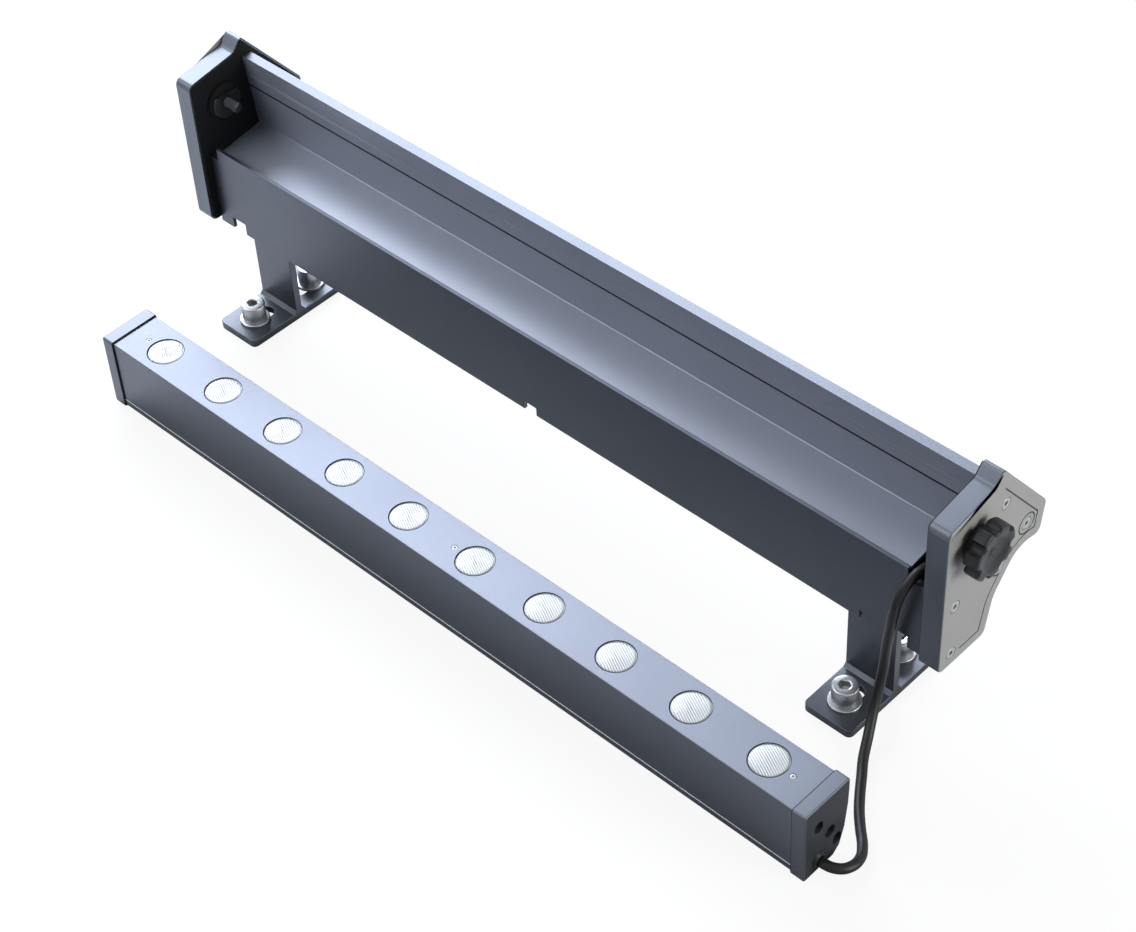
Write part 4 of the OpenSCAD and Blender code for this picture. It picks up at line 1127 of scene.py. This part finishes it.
@dataclass
class SupplyCable:
    """Supply cable from its relief in the housing to the gland in the lens bar."""

    diameter: float = 5.0
    sides: int = 20
    per_span: int = 8
    plate_x: float = 239.0
    plate_y: float = 11.5
    route: tuple[tuple[float, float, float], ...] = (
        (-33, 21, 66), (-23, 21, 66), (-17.5, 21.1, 67.6), (-13.2, 21.3, 71.8), (-11, 21.5, 77.5), (-10, 21.2, 84),
        (-9.2, 18.8, 91), (-9, 13.5, 95), (-9.5, 7.1, 95.3), (-10.7, 1.5, 91.5), (-12, -1.3, 84.5), (-13.5, -1.9, 75),
        (-15.5, -1.1, 62), (-17.5, -0.2, 48.5), (-18.3, -0.3, 35), (-17.8, -3.5, 23.5), (-15.4, -10.3, 13.5),
        (-11.5, -18.3, 7), (-7, -27, 3.5), (-1.3, -35.3, 2.5), (4.5, -43.7, 2.5), (10.6, -51.7, 2.5),
        (17, -58.7, 2.6), (23, -64.9, 3.1), (27, -70.9, 4.2), (28.2, -76.7, 5.4), (26.6, -82.3, 6.5),
        (22.6, -85.7, 7.3), (19.2, -86.5, 7.5), (17.3, -86.5, 7.5))

    def points(self) -> np.ndarray:
        """The route's points, which are counted from the front edge of the right end plate."""
        return np.array(self.route, float) + [self.plate_x, self.plate_y, 0]

    def line(self) -> np.ndarray:
        """Smooth line through the route: a cubic between each two points.

        The direction at a point is the mean of the directions before and after it, each weighted by
        the length of the other step, so that a short step doesn't make the line overshoot.

        Returns:
            Points of shape (n, 3), in millimetres.
        """
        p = self.points()
        step = np.linalg.norm(np.diff(p, axis=0), axis=1)[:, None]
        way = np.diff(p, axis=0) / step
        middle = (way[:-1] * step[1:] + way[1:] * step[:-1]) / (step[1:] + step[:-1])
        slope = np.vstack([way[:1], middle, way[-1:]])
        t = np.linspace(0, 1, self.per_span, endpoint=False)[:, None, None]
        a, b, u, v = p[:-1][None], p[1:][None], (slope[:-1] * step)[None], (slope[1:] * step)[None]
        curve = ((2 * t ** 3 - 3 * t ** 2 + 1) * a + (t ** 3 - 2 * t ** 2 + t) * u
                 + (3 * t ** 2 - 2 * t ** 3) * b + (t ** 3 - t ** 2) * v)
        return np.vstack([curve.transpose(1, 0, 2).reshape(-1, 3), p[-1:]])

    def build(self) -> None:
        """Sweeps the sheath along the line, with its length and angle kept as a UV map."""
        line = self.line()
        way = np.gradient(line, axis=0)
        way /= np.linalg.norm(way, axis=1)[:, None]
        side = np.empty_like(line)
        last = np.array([0.0, 0.0, 1.0])
        for i, w in enumerate(way):
            last = last - (last @ w) * w
            last = last / np.linalg.norm(last)
            side[i] = last
        cross = np.cross(way, side)
        angle = np.linspace(0, 2 * np.pi, self.sides, endpoint=False)
        r = self.diameter / 2
        ring = np.cos(angle)[None, :, None] * side[:, None] + np.sin(angle)[None, :, None] * cross[:, None]
        grid = line[:, None] + r * ring
        grid = np.concatenate([np.repeat(line[:1, None], self.sides, 1), grid, np.repeat(line[-1:, None], self.sides, 1)])
        run = np.concatenate([[0], np.cumsum(np.linalg.norm(np.diff(line, axis=0), axis=1))])
        run = np.concatenate([run[:1], run, run[-1:]])
        cable = make_mesh("supply_cable", grid_shell(grid, run), 60)
        self.unwrap(cable, line, side, cross)
        SHEATH.on(cable)
        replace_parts(cable, "power_cord")
        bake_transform(cable)
        log.info("supply_cable is %.0f mm long", run[-1])
        self.relief()

    @staticmethod
    def unwrap(cable: bpy.types.Object, line: np.ndarray, side: np.ndarray, cross: np.ndarray) -> None:
        """UV map "along": U is the length in metres, V the share of a turn round the cable.

        Args:
            cable: The cable's object.
            line: Its centre line.
            side: Unit vectors at V 0.
            cross: Unit vectors at V a quarter.
        """
        mesh = cable.data
        points = np.empty(len(mesh.vertices) * 3)
        mesh.vertices.foreach_get("co", points)
        points = points.reshape(-1, 3) / MM
        near = np.array([int(np.argmin(((line - q) ** 2).sum(1))) for q in points])
        off = points - line[near]
        v = (np.arctan2((off * cross[near]).sum(1), (off * side[near]).sum(1)) / (2 * np.pi)) % 1
        run = np.concatenate([[0], np.cumsum(np.linalg.norm(np.diff(line, axis=0), axis=1))])
        u = run[near] * MM
        loops = np.empty(len(mesh.loops), int)
        mesh.loops.foreach_get("vertex_index", loops)
        start = np.empty(len(mesh.polygons), int)
        size = np.empty(len(mesh.polygons), int)
        mesh.polygons.foreach_get("loop_start", start)
        mesh.polygons.foreach_get("loop_total", size)
        corner = np.stack([u[loops], v[loops]], -1)
        owner = np.repeat(np.arange(len(size)), size)
        highest = np.maximum.reduceat(corner[:, 1], start)
        corner[:, 1] += ((highest[owner] - corner[:, 1]) > 0.5).astype(float)
        layer = mesh.uv_layers.new(name="along")
        layer.data.foreach_set("uv", corner.astype(np.float32).reshape(-1))

    def relief(self) -> None:
        """Strain relief where the cable leaves the driver: a boot that tapers down to the sheath."""
        x, y, z = self.points()[0].tolist()
        profile = filleted([(2.6, -6, 0), (4.5, -6, 0.3), (4.5, -1, 0.4), (4.1, -0.5, 0.2), (4.1, 0.5, 0.2), (3.7, 1, 0.2),
                            (3.7, 2, 0.2), (3.4, 2.5, 0.2), (3.4, 4, 0.2), (3.1, 4.5, 0.2), (2.75, 9, 0.1),
                            (2.6, 9, 0), (2.6, -6, 0)], 3)
        boot = make_mesh("cable_relief_boot", turned(profile, (x, y, z), (1, 0, 0), 40))
        finish_piece(boot, BLACK_NYLON, Body.HOUSING, "cable_relief")


@dataclass
class Studio:
    """Camera at the photograph's place, white floor, softbox, side lamp and a dim cool surround."""

    lens: float = 81.24
    place: tuple[float, float, float] = (669.83, -611.57, 913.53)
    yaw: float = -0.803105
    pitch: float = 0.775038
    roll: float = 0.0628081
    floor_size: float = 6.0

    def camera(self) -> None:
        """Camera whose axes follow from yaw about Z, pitch down and roll about the view."""
        cy, sy, cp, sp = math.cos(self.yaw), math.sin(self.yaw), math.cos(self.pitch), math.sin(self.pitch)
        ahead = np.array([sy * cp, cy * cp, -sp])
        right = np.array([cy, -sy, 0.0])
        down = np.cross(ahead, right)
        cr, sr = math.cos(self.roll), math.sin(self.roll)
        right, down = right * cr + down * sr, -right * sr + down * cr
        data = bpy.data.cameras.new("camera")
        data.sensor_fit = "HORIZONTAL"
        data.sensor_width = 36.0
        data.lens = self.lens
        data.clip_end = 30.0
        camera = bpy.data.objects.new("camera", data)
        axes = np.eye(4)
        axes[:3, :3] = np.stack([right, -down, -ahead], 1)
        axes[:3, 3] = np.array(self.place) * MM
        camera.matrix_world = Matrix(axes.tolist())
        bpy.context.scene.collection.objects.link(camera)
        bpy.context.scene.camera = camera

    def lamp(self, name: str, place: tuple[float, float, float], aim: tuple[float, float, float],
             size: tuple[float, float], power: float, colour: tuple[float, float, float]) -> None:
        """Rectangular area lamp.

        Args:
            name: Name of the lamp.
            place: Its middle, in metres.
            aim: Point that it faces.
            size: Its two sides, in metres.
            power: Its power in watts.
            colour: Its linear colour.
        """
        data = bpy.data.lights.new(name, "AREA")
        data.shape = "RECTANGLE"
        data.size, data.size_y = size
        data.energy = power
        data.color = colour
        lamp = bpy.data.objects.new(name, data)
        back = np.array(place) - np.array(aim)
        back = back / np.linalg.norm(back)
        first, second = frame_of(back)
        axes = np.eye(4)
        axes[:3, :3] = np.stack([first, second, back], 1)
        axes[:3, 3] = place
        lamp.matrix_world = Matrix(axes.tolist())
        bpy.context.scene.collection.objects.link(lamp)

    @staticmethod
    def seen(tree: bpy.types.NodeTree) -> bpy.types.NodeSocket:
        """1 for rays from the camera, in reflections and through clear parts, 0 for light that spreads.

        Args:
            tree: Node tree of the world or the floor.

        Returns:
            The output socket of that share.
        """
        path = add(tree, "ShaderNodeLightPath")
        first = add(tree, "ShaderNodeMath", {0: path.outputs["Is Camera Ray"], 1: path.outputs["Is Glossy Ray"]},
                    operation="MAXIMUM")
        return add(tree, "ShaderNodeMath", {0: first.outputs[0], 1: path.outputs["Is Transmission Ray"]},
                   operation="MAXIMUM").outputs[0]

    def world(self) -> None:
        """White where it is seen, dim and cool where it lights."""
        world = bpy.data.worlds.new("surround")
        world.use_nodes = True
        tree = world.node_tree
        tree.nodes.clear()
        dim = add(tree, "ShaderNodeBackground", {"Color": linear("#C6D0E0"), "Strength": 0.08})
        white = add(tree, "ShaderNodeBackground", {"Color": (1, 1, 1, 1), "Strength": 1.0})
        mix = add(tree, "ShaderNodeMixShader", {0: self.seen(tree), 1: dim.outputs[0], 2: white.outputs[0]})
        add(tree, "ShaderNodeOutputWorld", {"Surface": mix.outputs[0]})
        bpy.context.scene.world = world

    def floor(self) -> None:
        """White floor that keeps a faint shadow and throws little light back up."""
        half = self.floor_size / 2
        points = np.array([[-half, -half, 0], [half, -half, 0], [half, half, 0], [-half, half, 0]]) - [0, 0, 0.0002]
        mesh = bpy.data.meshes.new("floor")
        mesh.from_pydata(points.tolist(), [], [(0, 1, 2, 3)])
        floor = bpy.data.objects.new("floor", mesh)
        bpy.context.scene.collection.objects.link(floor)
        paper = bpy.data.materials.new("matt white paper")
        paper.use_nodes = True
        tree = paper.node_tree
        tree.nodes.clear()
        lit = add(tree, "ShaderNodeBsdfDiffuse", {"Color": linear("#F4F4F4")})
        glow = add(tree, "ShaderNodeEmission", {"Color": (1, 1, 1, 1), "Strength": 1.0})
        direct = add(tree, "ShaderNodeLightPath").outputs["Is Camera Ray"]
        share = add(tree, "ShaderNodeMapRange", {"Value": direct, "To Min": 0.0, "To Max": 0.9})
        shown = add(tree, "ShaderNodeMixShader", {0: share.outputs[0], 1: lit.outputs[0], 2: glow.outputs[0]})
        dim = add(tree, "ShaderNodeBsdfDiffuse", {"Color": linear("#3A3C40")})
        mix = add(tree, "ShaderNodeMixShader", {0: self.seen(tree), 1: dim.outputs[0], 2: shown.outputs[0]})
        add(tree, "ShaderNodeOutputMaterial", {"Surface": mix.outputs[0]})
        mesh.materials.append(paper)

    def build(self) -> None:
        """Sets up the whole studio."""
        self.camera()
        self.world()
        self.floor()
        self.lamp("softbox", (-1.28, 0.9, 1.15), (0.0, 0.0, 0.05), (1.7, 1.4), 80, (0.88, 0.935, 1.06))
        self.lamp("side lamp", (2.0, 0.5, 0.7), (0.25, 0.04, 0.1), (1.0, 1.0), 29, (1.0, 0.99, 0.96))
        self.lamp("top fill", (-0.85, -0.95, 1.4), (-0.05, 0.0, 0.1), (1.4, 1.2), 16, (0.92, 0.96, 1.03))


def main() -> None:
    """Builds the studio and then the light, one sub-assembly after the other."""
    bpy.context.scene.view_settings.view_transform = "Standard"
    logging.basicConfig(level=logging.INFO, format="%(message)s")
    Studio().build()
    SupplyCable().build()
    Housing().build()
    BoltClamp(Side.LEFT).build()
    KnobClamp(Side.RIGHT).build()
    for side in Side:
        Foot(side).build()
    LensBar().build()


if __name__ == "__main__":
    main()
